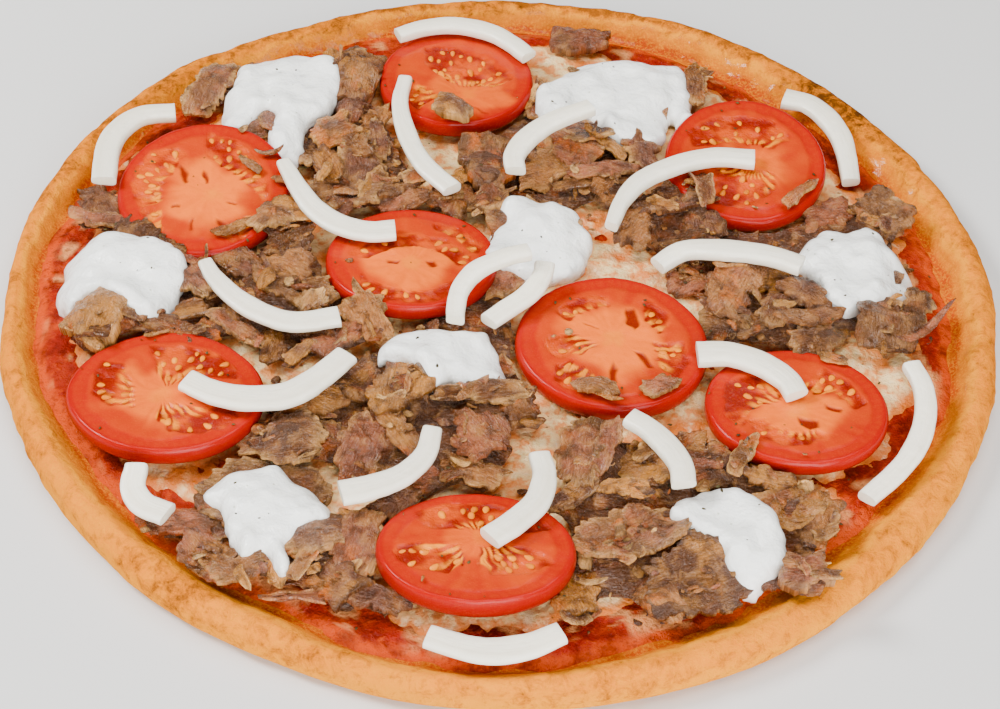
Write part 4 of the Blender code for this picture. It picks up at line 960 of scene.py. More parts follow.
# Heaps of meat. Each piece: kind, x, y, length, width, heading, height above the cheese, tip, tone
HEAPS = {
    "meat_north_west": (
        ("chunk", -52, 104, 27, 21, 80, 0, 6, "grey"), ("slab", -99, 92, 28, 13, 75, 0, 8, "pink"),
        ("slab", -70, 95, 30, 24, 10, 0, 0, "brown"), ("strip", -78, 77, 21, 6, 95, 4, 0, "pink"),
        ("slab", -83, 69, 17, 12, 20, 1, 5, "brown"), ("slab", -52, 84, 15, 12, 70, 2, -6, "plum"),
        ("slab", -57, 70, 17, 12, 30, 4, 10, "gold"), ("slab", -49, 66, 15, 10, 120, 5, -8, "tan"),
        ("curl", -57, 53, 19, 8, -60, 5, 14, "tan"), ("slab", -66, 62, 19, 11, -50, 1, -8, "brown"),
        ("slab", -46, 53, 21, 14, 100, 2, 6, "plum"), ("slab", -51, 40, 30, 18, 15, 2, -10, "grey"),
        ("slab", -32, 49, 19, 9, 45, 5, -10, "brown"), ("slab", -33, 38, 16, 11, 30, 2, 6, "pink"),
        ("slab", -44, 79, 17, 9, 60, 3, 8, "tan"), ("strip", -42, 47, 17, 8, 65, 5, 8, "brown"),
        ("strip", -42, 68, 20, 7, 100, 3, 0, "plum"), ("slab", -86, 98, 18, 12, 70, 1, 0, "tan"),
    ),
    "meat_north": (
        ("chunk", -6, 63, 23, 17, 85, 1, 6, "grey"), ("slab", -17, 41, 18, 14, 80, 1, 5, "pink"),
        ("slab", -5, 42, 17, 13, 70, 3, -8, "brown"), ("slab", 12, 55, 22, 16, 30, 0, 0, "tan"),
        ("slab", 21, 68, 26, 13, 150, 2, -10, "pink"), ("slab", 25, 79, 23, 12, 160, 4, 8, "brown"),
        ("slab", 43, 67, 21, 10, 100, 2, 8, "plum"), ("strip", 32, 58, 23, 6, 5, 5, 0, "pink"),
        ("slab", 35, 49, 19, 14, 60, 3, 8, "tan"), ("slab", 36, 96, 40, 30, 5, 0, 0, "brown"),
        ("slab", 62, 105, 27, 9, 86, 2, -8, "tan"), ("slab", 11, 91, 17, 10, 80, 1, 8, "pink"),
        ("slab", 10, 29, 27, 24, 0, 0, 0, "brown"), ("curl", 22, 50, 20, 7, 20, 3, 5, "tan"),
        ("strip", 33, 72, 20, 5, 130, 5, 0, "gold"), ("strip", 46, 81, 18, 8, 60, 2, -6, "plum"),
    ),
    "meat_east": (
        ("slab", 52, 44, 27, 18, 25, 3, -10, "brown"), ("curl", 62, 49, 19, 9, 100, 6, 14, "pink"),
        ("slab", 40, 31, 18, 14, 60, 3, 8, "tan"), ("slab", 61, 32, 15, 13, 100, 3, -6, "plum"),
        ("slab", 70, 5, 29, 15, 65, 4, 12, "tan"), ("slab", 58, 10, 21, 15, 30, 0, 5, "pink"),
        ("slab", 84, 11, 24, 17, 20, 0, 0, "gold"), ("slab", 84, -5, 18, 13, 70, 3, -10, "plum"),
        ("strip", 93, -7, 23, 6, 15, 6, 8, "tan"), ("slab", 92, 3, 17, 12, -40, 4, 6, "tan"),
        ("slab", 94, -16, 19, 12, 25, 3, 10, "brown"), ("slab", 78, -13, 19, 13, 0, 1, -5, "tan"),
        ("slab", 67, -12, 18, 13, -20, 2, 6, "brown"), ("slab", 117, -8, 26, 21, 80, 4, 6, "grey"),
        ("slab", 110, 16, 32, 26, 60, 0, 0, "brown"), ("slab", 119, 43, 21, 17, -45, 2, 8, "grey"),
        ("slab", 102, 42, 18, 13, 20, 1, 0, "pink"), ("slab", 126, 0, 16, 10, 85, 3, -10, "brown"),
        ("slab", 75, 24, 19, 11, 5, 0, 4, "plum"), ("strip", 52, 26, 18, 8, 20, 1, 0, "brown"),
    ),
    "meat_west": (
        ("chunk", -119, -17, 24, 18, 70, 1, -8, "gold"), ("slab", -114, 4, 34, 30, 60, 0, 0, "brown"),
        ("slab", -104, -20, 23, 8, -5, 3, 8, "plum"), ("slab", -89, -24, 12, 10, 20, 3, 0, "brown"),
        ("strip", -78, -20, 24, 7, -35, 5, -8, "tan"), ("strip", -58, -30, 13, 5, 60, 5, 0, "gold"),
        ("slab", -49, -24, 19, 15, 50, 3, -8, "pink"), ("slab", -63, -2, 29, 15, -20, 4, -6, "grey"),
        ("slab", -75, -8, 22, 16, -10, 0, 0, "tan"), ("slab", -66, 19, 22, 13, 80, 4, -8, "brown"),
        ("slab", -72, 28, 15, 10, 30, 5, 8, "tan"), ("slab", -92, 1, 22, 13, -60, 2, 6, "brown"),
        ("slab", -80, 8, 18, 12, -30, 2, -6, "tan"), ("slab", -40, -14, 23, 12, -65, 4, 8, "tan"),
        ("curl", -92, -15, 14, 8, 20, 4, 6, "tan"), ("slab", -66, -27, 16, 11, 80, 2, 8, "brown"),
        ("slab", -66, 8, 20, 12, -30, 3, 6, "tan"), ("strip", -98, -22, 16, 6, -20, 4, 0, "brown"),
    ),
    "meat_south": (
        ("slab", -28, -43, 29, 18, 85, 4, -6, "gold"), ("slab", -59, -64, 28, 22, 15, 3, -8, "brown"),
        ("slab", -54, -50, 23, 13, -5, 1, 5, "tan"), ("strip", -29, -58, 23, 7, -55, 6, 10, "plum"),
        ("slab", -37, -67, 25, 14, 75, 2, 8, "pink"), ("slab", -15, -30, 30, 24, 0, 0, 0, "brown"),
        ("slab", -3, -62, 23, 17, -60, 3, -8, "pink"), ("slab", -6, -75, 21, 10, -20, 2, 8, "tan"),
        ("slab", 6, -49, 17, 13, -70, 2, 10, "brown"), ("curl", -12, -47, 15, 9, 10, 3, 0, "brown"),
        ("slab", -1, -44, 17, 9, 10, 4, 6, "brown"), ("slab", -26, -89, 18, 11, 60, 2, 6, "plum"),
        ("slab", 0, 4, 16, 12, 40, 1, 6, "pink"), ("slab", -40, -40, 18, 12, 60, 2, 6, "plum"),
        ("slab", -34, -54, 18, 10, 40, 4, 6, "pink"),
    ),
    "meat_south_west": (
        ("slab", -47, -99, 20, 14, 20, 4, -8, "grey"), ("slab", -36, -101, 23, 15, 80, 4, 10, "pink"),
        ("slab", -75, -92, 14, 11, 30, 2, 6, "brown"), ("slab", -86, -97, 24, 9, -5, 1, 0, "pink"),
        ("slab", -62, -90, 34, 26, 0, 0, 0, "brown"), ("slab", -75, -107, 19, 14, -30, 2, -6, "pink"),
        ("slab", -67, -112, 17, 8, 25, 4, 8, "tan"), ("curl", -57, -111, 13, 7, -80, 5, 8, "gold"),
        ("curl", -50, -111, 14, 7, 60, 5, -8, "tan"), ("slab", -42, -116, 23, 12, -30, 2, 6, "plum"),
        ("slab", -30, -121, 18, 9, -20, 1, 0, "plum"), ("curl", -51, -122, 19, 6, 5, 1, 6, "pink"),
        ("strip", -76, -86, 14, 5, -20, 4, 0, "brown"),
    ),
    "meat_south_east": (
        ("slab", 24, -67, 27, 14, 80, 3, -8, "grey"), ("slab", 31, -64, 21, 8, 75, 5, 10, "pink"),
        ("slab", 43, -69, 22, 18, 20, 1, 0, "gold"), ("strip", 35, -79, 18, 6, -8, 5, 6, "gold"),
        ("strip", 22, -82, 21, 7, 40, 3, 8, "plum"), ("slab", 38, -95, 31, 21, 30, 3, -10, "grey"),
        ("slab", 54, -110, 30, 24, 25, 3, 8, "brown"), ("slab", 45, -118, 19, 9, -50, 2, 6, "tan"),
        ("slab", 23, -117, 21, 12, -75, 2, -8, "gold"), ("slab", 61, -68, 17, 14, 20, 2, 6, "brown"),
        ("strip", 70, -63, 18, 6, 70, 7, 0, "tan"), ("slab", 76, -73, 16, 9, -10, 4, 8, "gold"),
        ("slab", 82, -82, 21, 15, 35, 4, -8, "gold"), ("slab", 90, -86, 17, 12, 60, 3, 6, "tan"),
        ("chunk", 85, -106, 14, 12, 10, 0, 5, "pink"), ("slab", 64, -90, 32, 24, -40, 0, 0, "brown"),
        ("curl", 45, -62, 15, 8, 40, 5, 8, "gold"), ("slab", 76, -107, 9, 8, 20, 2, 0, "plum"),
        ("slab", 53, -60, 16, 10, 20, 2, 0, "brown"),
    ),
    "meat_rim_west": (
        ("slab", -127, 33, 18, 11, -60, 1, 6, "tan"), ("strip", -125, 25, 20, 6, 0, 3, 6, "pink"),
    ),
}
# Single scraps of meat: kind, length, width, heading, tone
SCRAPS = {
    "meat_scrap_north": ("chunk", 16, 10, -30, "gold"),
    "meat_scrap_leaf": ("slab", 21, 6, 52, "pink"),
    "meat_scrap_rim": ("chunk", 22, 13, 5, "pink"),
    "meat_scrap_curl": ("curl", 17, 6, 30, "tan"),
    "meat_scrap_south": ("slab", 13, 8, -15, "tan"),
    "meat_scrap_pink": ("slab", 14, 9, 20, "pink"),
}
# Kinds of meat piece: thickness, bend in degrees, how ragged its edge is in mm
MEAT_KINDS = {
    "slab": (2.4, 26, 1.5), "chunk": (6.8, 6, 0.9), "strip": (1.8, 50, 1.0), "curl": (1.3, 165, 0.8),
    "chip": (1.3, 40, 0.9), "shred": (0.9, 120, 0.5),
}
MEAT_STEP = 0.9
CORE_VOXEL = 0.0018
CORE_SOFTEN = 3
CORE_SINK = 1.3
# How many small bits lie on a heap for each square millimetre of its box
BIT_DENSITY = 0.034
BIT_KINDS = ("strip", "shred", "curl", "chip", "shred")
BIT_TONES = ("tan", "brown", "pink", "plum", "gold", "grey", "gold", "fat")
CLOUD_TONES = ("grey", "tan", "gold", "pink", "plum")
MEAT_SHARP = 55
# Tones for the raised and the low mottles of the meat: partly its own mottling, partly painted highlight and painted
# shade.
RAISED_ROAST_AND_HIGHLIGHT = (0.56, 0.250, 0.075)
HOLLOW_ROAST_AND_SHADE = (0.075, 0.024, 0.006)


def torn_outline(chance, size, width, sides):
    """Corners of a torn outline as angles and reaches."""
    angles = [math.tau * (k + chance.uniform(-0.3, 0.3)) / sides for k in range(sides)]
    corners = []
    for angle in angles:
        square = 1 / (abs(math.cos(angle)) ** 3.2 + abs(math.sin(angle)) ** 3.2) ** (1 / 3.2)
        reach = square * chance.uniform(0.72, 1.1)
        corners.append((reach * math.cos(angle) * size / 2, reach * math.sin(angle) * width / 2))
    return corners


def shaving(chance, kind, size, width):
    """A shaving that lies flat with its grain along X: points, faces, grain and how near its edge each point is."""
    thick, bend, ragged = MEAT_KINDS[kind]
    thick = min(thick * chance.uniform(0.8, 1.2), (0.8 if kind == "chunk" else 0.35) * width)
    seed = chance.randrange(10000)
    rows, columns = max(5, round(size / MEAT_STEP)), max(4, round(width / MEAT_STEP))
    s, t = (a.ravel() for a in np.meshgrid(np.linspace(-1, 1, rows), np.linspace(-1, 1, columns), indexing="ij"))
    near_edge = np.maximum(np.abs(s), np.abs(t))
    bearing = np.arctan2(t * width, s * size)
    corners = torn_outline(chance, size, width, chance.randint(7, 11))
    reach = outline_reach(bearing, corners)
    ring = np.column_stack([np.cos(bearing) * reach, np.sin(bearing) * reach, np.full(len(reach), 0.5 * seed)])
    notches = lumps(ring, 3.0, seed) + 0.9 * lumps(ring, 1.3, seed + 1)
    reach = np.maximum(reach + ragged * notches * near_edge**3, 0.35 * reach)
    x, y = near_edge * reach * np.cos(bearing), near_edge * reach * np.sin(bearing)
    flat = np.column_stack([x, y, np.zeros(len(x))])
    fibres = lumps(flat * (0.16, 1.0, 1), 1.3, seed + 3)
    pits = rough_lumps(flat, 4.0, seed + 4)
    half = 0.5 * thick * (1 - 0.62 * near_edge**4) * (1 + 0.35 * pits)
    wave = 0.11 * min(size, 22) * lumps(flat, 11, seed + 5) * min(1.0, width / 11) + 0.45 * lumps(flat, 3.5, seed + 6)
    top = np.column_stack([x, y, wave + half + 0.16 * fibres + 0.22 * lumps(flat, 1.7, seed + 7)])
    low = np.column_stack([x, y, wave - half])
    points = np.concatenate([top, low])
    faces = grid_faces(rows, columns, closed=False)
    faces += [face[::-1] for face in grid_faces(rows, columns, closed=False, start=len(x))]
    rim = list(range(columns)) + [k * columns + columns - 1 for k in range(1, rows)]
    rim += [(rows - 1) * columns + k for k in range(columns - 2, -1, -1)]
    rim += [k * columns for k in range(rows - 2, 0, -1)]
    for k, here in enumerate(rim):
        following = rim[(k + 1) % len(rim)]
        faces.append([here, here + len(x), following + len(x), following])
    turned = math.radians(bend * chance.uniform(0.4, 1.2) * chance.choice((-1, 1, 1)))
    along = 1 if kind == "curl" or (kind == "slab" and chance.random() < 0.5) else 0
    points = bent(points, turned, (size, width)[along], along)
    grain = np.column_stack([np.tile(x, 2), np.tile(y, 2), np.full(len(points), float(seed % 97))])
    return points, faces, grain, np.tile(near_edge, 2)


def outline_reach(bearing, corners):
    """Distance from the middle to the outline in each direction."""
    reach = np.full(len(bearing), 1e9)
    cos, sin = np.cos(bearing), np.sin(bearing)
    for k, (ax, ay) in enumerate(corners):
        bx, by = corners[(k + 1) % len(corners)]
        across = cos * (by - ay) - sin * (bx - ax)
        with np.errstate(divide="ignore", invalid="ignore"):
            distance = (ax * (by - ay) - ay * (bx - ax)) / across
            share = np.where(np.abs(bx - ax) > np.abs(by - ay),
                             (distance * cos - ax) / (bx - ax), (distance * sin - ay) / (by - ay))
        hit = (distance > 0) & (share >= -0.001) & (share <= 1.001)
        reach = np.where(hit, np.minimum(reach, distance), reach)
    return np.where(reach > 1e8, np.hypot(*corners[0]), reach)


def bent(points, turned, span, along):
    """Bends a flat piece into an arc along one axis."""
    if abs(turned) < 0.05:
        return points
    radius = span / turned
    angle = points[:, along] / radius
    result = points.copy()
    result[:, along] = (radius - points[:, 2]) * np.sin(angle)
    result[:, 2] = radius - (radius - points[:, 2]) * np.cos(angle)
    return result


def meat_colours(settings, chance, tone, grain, near_edge):
    """Tone clouded with a second one, fatty or crisp edges, and orange grease."""
    base = np.array(getattr(settings, tone)) * chance.uniform(0.7, 1.4)
    seed = chance.randrange(10000)
    cloudy, fine = clouds(grain, 6, seed), clouds(grain * (0.7, 1.2, 1), 2.0, seed + 5)
    other = np.array(getattr(settings, chance.choice(CLOUD_TONES)))
    colours = mixed(np.tile(base, (len(grain), 1)), other, 0.8 * smooth_step(0.42, 0.7, cloudy))
    edge = smooth_step(0.7, 1.0, near_edge + 0.3 * (fine - 0.5)) * smooth_step(0.3, 0.6, cloudy * 0.6 + fine * 0.4)
    border = settings.fat if chance.random() < 0.55 else settings.crisp
    colours = mixed(colours, border, edge * chance.uniform(0.4, 0.95))
    colours = mixed(colours, settings.crisp, 0.5 * smooth_step(0.62, 0.82, fine))
    grease = smooth_step(0.58, 0.78, clouds(grain, 5, seed + 9)) * chance.uniform(0.0, 0.8)
    colours = mixed(colours, settings.grease, grease)
    return colours * (0.85 + 0.35 * fine)[:, None]


def laid(points, heading, tip, pitch, place):
    """Turns a flat piece by its heading and tilts, and moves it to its place."""
    turn = Matrix.Rotation(math.radians(heading), 3, "Z") @ Matrix.Rotation(math.radians(tip), 3, "X")
    turn = turn @ Matrix.Rotation(math.radians(pitch), 3, "Y")
    return points @ np.array(turn).T + np.array(place)


def made_shaving(settings, chance, kind, size, width, tone, lie):
    """A coloured shaving in its place. The lie is heading, tip, pitch and place."""
    points, faces, grain, near_edge = shaving(chance, kind, size, width)
    return laid(points, *lie), faces, meat_colours(settings, chance, tone, grain, near_edge), grain


class PIZZA_OT_meat(bpy.types.Operator):
    """Makes the heaps of shaved meat and the single scraps"""

    bl_idname = "pizza.meat"
    bl_label = "Shaved meat"

    def execute(self, context):
        settings = context.scene.pizza_meat
        finish = meat_finish(settings)
        cheese_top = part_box("melted_cheese")[1].z / MM
        for name, rows in HEAPS.items():
            ground = Ground(name)
            parts = [self.core(settings, name)]
            for number, row in enumerate(rows):
                chance = random.Random(f"{SEED} {name} {number}")
                parts.append(self.listed(settings, chance, row, ground, cheese_top))
            parts += self.bits(settings, name, ground)
            points, faces, colours, grain = joined(parts)
            mesh_piece(name + "_heap", points, faces, finish, colours, grain, (name,), MEAT_SHARP)
        for name, (kind, size, width, heading, tone) in SCRAPS.items():
            chance = random.Random(f"{SEED} {name}")
            low, high = box_of(name)
            place = ((low.x + high.x) / 2, (low.y + high.y) / 2, low.z + 0.5 * MEAT_KINDS[kind][0] + 0.3)
            lie = (heading, 0, 0, place)
            points, faces, colours, grain = made_shaving(settings, chance, kind, size, width, tone, lie)
            mesh_piece(name + "_shaving", points, faces, finish, colours, grain, (name,), MEAT_SHARP)
        return {"FINISHED"}

    def core(self, settings, name):
        """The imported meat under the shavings: the solid, softened and sunk a little."""
        points, outwards, faces = softened_mesh(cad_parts[name].data.copy(), CORE_VOXEL, CORE_SOFTEN)
        points = points - CORE_SINK * outwards * np.array([0.6, 0.6, 1.0])
        points += outwards * (0.8 * rough_lumps(points, 4, SEED + 90))[:, None]
        points[:, 2] = np.maximum(points[:, 2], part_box(name)[0].z / MM - 0.5)
        shade = clouds(points, 5, SEED + 91)
        # The meat under the shavings runs from the dark crisp tone to brown, darker than the shavings: partly its own
        # roast tone, partly painted shade in the gaps between them.
        colours = mixed(settings.crisp, settings.brown, 0.2 + 0.7 * shade)
        colours = mixed(colours, settings.grease, 0.5 * smooth_step(0.5, 0.8, 1 - shade))
        return points, faces, colours, points * 0.8

    def listed(self, settings, chance, row, ground, cheese_top):
        """A shaving from the table, at its height above the cheese."""
        kind, read_x, read_y, size, width, heading, lift, tip, tone = row
        thick = MEAT_KINDS[kind][0]
        x, y = towards_eye(read_x, read_y, READ_HEIGHT + lift + thick)
        z = cheese_top + 0.3 + lift + thick / 2
        top = ground.hit(x, y)
        if top:
            z = max(z, min(top[0] - thick / 2 + 0.3, z + 3))
        lie = (heading, tip, chance.uniform(-7, 7), (x, y, z))
        return made_shaving(settings, chance, kind, size * 1.06, width * 1.08, tone, lie)

    def bits(self, settings, name, ground):
        """Small torn bits strewn over the heap."""
        chance = random.Random(f"{SEED} bits {name}")
        low, high = box_of(name)
        parts = []
        for _ in range(round(BIT_DENSITY * (high.x - low.x) * (high.y - low.y))):
            x, y = chance.uniform(low.x, high.x), chance.uniform(low.y, high.y)
            found = ground.hit(x, y)
            size = 2.0 + 11 * chance.random() ** 2.2
            kind = chance.choice(BIT_KINDS)
            width = size * (chance.uniform(0.15, 0.35) if kind == "shred" else chance.uniform(0.3, 0.8))
            tone = chance.choice(BIT_TONES)
            if found is None:
                continue
            place = (x, y, found[0] + chance.uniform(-0.6, 0.7))
            lie = (chance.uniform(0, 360), chance.uniform(-35, 35), chance.uniform(-25, 25), place)
            parts.append(made_shaving(settings, chance, kind, size, width, tone, lie))
        return parts


def meat_finish(settings):
    """Fibrous, slightly greasy roasted meat."""
    finish = Finish(
        "roasted_meat", Specular_IOR_Level=0.6, Subsurface_Weight=0.04, Subsurface_Scale=0.002,
        Subsurface_Radius=(1.0, 0.4, 0.25),
    )
    grain = finish.attribute("grain", "Vector")
    fibres = finish.noise(finish.stretched(grain, (0.3, 1.5, 1.4)), 1.0, 4, 0.62, 0.8)
    mottle, pores = finish.noise(grain, 5.0, 5, 0.64, 0.5), finish.noise(grain, 1.0, 3, 0.6)
    colour = finish.attribute("tint")
    # Mottles that the bump lifts are painted lighter and the low ones darker: partly the meat's own mottling, partly
    # painted highlight and painted shade.
    colour = finish.mix(mottle.rise(0.5, 0.64) * 0.4, colour, RAISED_ROAST_AND_HIGHLIGHT)
    colour = finish.mix((1 - mottle).rise(0.5, 0.62) * 0.65, colour, HOLLOW_ROAST_AND_SHADE)
    colour = finish.mix(fibres.rise(0.5, 0.68) * 0.45, colour, settings.crisp)
    colour = finish.mix(pores.rise(0.6, 0.74) * 0.3, colour, settings.gold)
    relief = finish.bump(mottle * 1.2 + fibres * 0.7 + pores * 0.25, 0.0024)
    return finish.wear(Base_Color=colour, Normal=relief, Roughness=0.1 + pores * 0.3)


# Onion

ONION_ROWS = 72
ONION_SIDES = 24
ONION_THICK = 3.3
ONION_SHARP = 60
ONION_EVENING = 6
# Onion strips: plan points along the middle, then the width at the start, the middle and the end
ONIONS = {
    "onion_01": (((-109, 78.5), (-119, 76.5), (-125, 70), (-128, 60), (-127, 43)), (7.2, 8.0, 7.6)),
    "onion_02": (((-39, 125), (-30, 130), (-19, 132), (-8, 129), (0, 123), (6, 116)), (5.5, 6.8, 6.0)),
    "onion_03": (((-35, 101), (-36, 88), (-33, 73), (-27, 58), (-17, 45.5)), (4.6, 6.4, 6.8)),
    "onion_04": (((27, 90), (15, 82.4), (6.6, 73), (2.4, 63.4), (3, 56)), (6.2, 7.4, 6.6)),
    "onion_05": (((91.5, 99), (100, 96), (106.6, 86.6), (109.7, 75), (110.5, 57)), (8.2, 7.2, 5.6)),
    "onion_06": (((80, 66.5), (67.6, 67), (55, 62.4), (43.4, 54), (37, 43.4), (33.4, 31)), (7.6, 6.8, 4.2)),
    "onion_07": (((47.5, 14), (56, 21.3), (68.7, 22.3), (81, 20.8), (92, 16.5)), (6.2, 7.6, 7.0)),
    "onion_08": (((-71.3, 55.5), (-65.5, 43.4), (-59.7, 34), (-51.8, 27), (-42.4, 24), (-33.7, 25)), (4.6, 7.6, 8.2)),
    "onion_09": (((-90.5, 7), (-86.6, 0), (-79, -8.7), (-69.7, -15), (-60, -17.6), (-48, -14.5)), (4.6, 7.4, 7.6)),
    "onion_10": (((-13.4, -14), (-13.4, -7.6), (-12.2, 0.6), (-7.6, 8.8), (0.8, 15), (8, 18)), (5.4, 6.0, 5.6)),
    "onion_11": (((12.9, 12), (12.2, 7), (8.6, -1), (2.2, -8), (-3.5, -14)), (6.2, 6.8, 6.2)),
    "onion_12": (
        ((-90, -43.5), (-81, -48), (-70.8, -49.7), (-60.3, -47.6), (-51.8, -40.3), (-44.5, -30.5)), (7.8, 9.4, 7.8),
    ),
    "onion_13": (((-42, -84.5), (-34, -82), (-25.5, -77), (-19.6, -69), (-18, -59)), (8.8, 7.4, 5.4)),
    "onion_14": (((12.6, -67), (14, -75), (12.2, -84.5), (6.6, -92), (-0.5, -98.6)), (6.0, 7.6, 7.6)),
    "onion_15": (((-99.4, -77.8), (-99.2, -85.5), (-95.4, -91.4), (-88.5, -94.7)), (6.2, 7.4, 7.8)),
    "onion_16": (((58.5, -24), (67.6, -23.4), (77, -27), (84, -33), (87, -39.4)), (8.6, 8.4, 7.0)),
    "onion_17": (((38, -51), (43.4, -55), (49, -62), (52.4, -69), (53, -76)), (6.2, 7.0, 6.6)),
    "onion_18": (
        ((121.5, -25), (124, -34), (123.6, -45.5), (120, -57), (113.6, -67.6), (103.8, -78.6)), (5.6, 6.8, 6.0),
    ),
    "onion_19": (((-15.6, -133), (-5.5, -136.2), (2, -137), (10.8, -134.9), (19.4, -130.2)), (7.0, 8.6, 6.8)),
}


def curve_through(points, count):
    """Evenly spaced places on a smooth curve through plan points, and the sideways direction at each."""
    points = np.array(points, dtype=float)
    ends = np.concatenate([[2 * points[0] - points[1]], points, [2 * points[-1] - points[-2]]])
    fine = []
    for a, b, c, d in zip(ends, ends[1:], ends[2:], ends[3:]):
        for t in np.linspace(0, 1, 24, endpoint=False):
            square, cube = (2 * a - 5 * b + 4 * c - d) * t**2, (3 * b - a - 3 * c + d) * t**3
            fine.append(0.5 * (2 * b + (c - a) * t + square + cube))
    fine = np.array(fine + [points[-1]])
    run = np.concatenate([[0], np.cumsum(np.hypot(*np.diff(fine, axis=0).T))])
    steps = np.linspace(0, run[-1], count)
    places = np.column_stack([np.interp(steps, run, fine[:, k]) for k in (0, 1)])
    heading = np.gradient(places, axis=0)
    heading /= np.hypot(*heading.T)[:, None]
    return places, np.column_stack([heading[:, 1], -heading[:, 0]]), steps


class PIZZA_OT_onions(bpy.types.Operator):
    """Makes the curved strips of raw onion"""

    bl_idname = "pizza.onions"
    bl_label = "Onion strips"

    def execute(self, context):
        settings = context.scene.pizza_white
        finish = self.finish(settings)
        for number, (name, row) in enumerate(ONIONS.items()):
            points, faces, colours, grain = self.strip(settings, name, row, number)
            mesh_piece(name + "_strip", points, faces, finish, colours, grain, (name,), ONION_SHARP)
        return {"FINISHED"}

    def finish(self, settings):
        finish = Finish(
            "raw_onion_flesh", Specular_IOR_Level=0.45, Subsurface_Weight=0.3, Subsurface_Scale=0.003,
            Subsurface_Radius=(1.0, 0.95, 0.85),
        )
        grain = finish.attribute("grain", "Vector")
        veins = finish.noise(finish.stretched(grain, (0.10, 1.5, 1.0)), 1.0, 3, 0.5)
        cloud = finish.noise(grain, 4.0, 3, 0.5)
        colour = finish.mix(veins.rise(0.5, 0.72) * 0.22, finish.attribute("tint"), settings.onion_shade)
        relief = finish.bump(veins * 0.5 + cloud, 0.0004)
        return finish.wear(Base_Color=colour, Normal=relief, Roughness=0.2 + cloud * 0.22)

    def strip(self, settings, name, row, number):
        """A bar with a crisp outer edge and a rounded inner edge that follows its solid."""
        line, widths = row
        places, side, run = curve_through(line, ONION_ROWS)
        if self.turns_left(places):
            side = -side
        low, high = box_of(name)
        ground = Ground(name)
        level = np.full(ONION_ROWS, (low.z + high.z) / 2)
        for _ in range(3):
            true = np.array([towards_eye(x, y, z) for (x, y), z in zip(places, level)])
            tops = np.array([ground.height(x, y, np.nan) for x, y in true])
            known = ~np.isnan(tops)
            tops = np.interp(np.arange(ONION_ROWS), np.flatnonzero(known), tops[known])
            level = evened(tops, ONION_EVENING) - ONION_THICK / 2
        theta = np.linspace(0, math.tau, ONION_SIDES, endpoint=False)
        across = np.sign(np.cos(theta)) * np.abs(np.cos(theta)) ** 0.52
        up = np.sign(np.sin(theta)) * np.abs(np.sin(theta)) ** 0.6
        width = np.interp(run / run[-1], (0, 0.5, 1), widths)
        seed = 100 + number
        rings, colours, grain = [], [], []
        for k in range(ONION_ROWS):
            out = across * width[k] / 2
            rise = up * ONION_THICK / 2 * (1 - 0.16 * across) + 0.22 * across
            spot = np.column_stack([out, rise, np.full(ONION_SIDES, run[k])])
            swell = 1 + 0.05 * lumps(spot, 6, seed) + 0.02 * lumps(spot, 2, seed + 1)
            ring = true[k] + side[k] * (out * swell)[:, None]
            rings.append(np.column_stack([ring, level[k] + rise * swell]))
            layer = smooth_step(0.5, 0.0, np.abs(across - 0.45)) * (up > 0)
            # The underside of each strip is painted darker as painted shade; a greyer band runs along the top and the
            # last ends are darker.
            shade = 0.3 * smooth_step(0.1, -1.0, up) + 0.4 * layer
            shade += 0.25 * smooth_step(0.96, 1.0, abs(2 * run[k] / run[-1] - 1))
            colours.append(mixed(settings.onion, settings.onion_shade, np.clip(shade, 0, 1)))
            grain.append(np.column_stack([np.full(ONION_SIDES, run[k]), out, rise + 10 * number]))
        points, colours, grain = np.concatenate(rings), np.concatenate(colours), np.concatenate(grain)
        return points, ring_faces(ONION_ROWS, ONION_SIDES), colours, grain

    def turns_left(self, places):
        """Whether the strip bends to the left, so that its outer side is on the right."""
        first, last = places[1] - places[0], places[-1] - places[-2]
        return first[0] * last[1] - first[1] * last[0] < 0


# Garlic sauce

DOLLOP_STEP = 0.75
DOLLOP_THICK = 5.6
DOLLOP_SHOULDER = 5.5
DOLLOP_SOFTEN = 6
DOLLOP_EVENING = 9
GARLIC_CREAM = (0.88, 0.86, 0.74)
GARLIC_SPECK = (0.30, 0.33, 0.18)
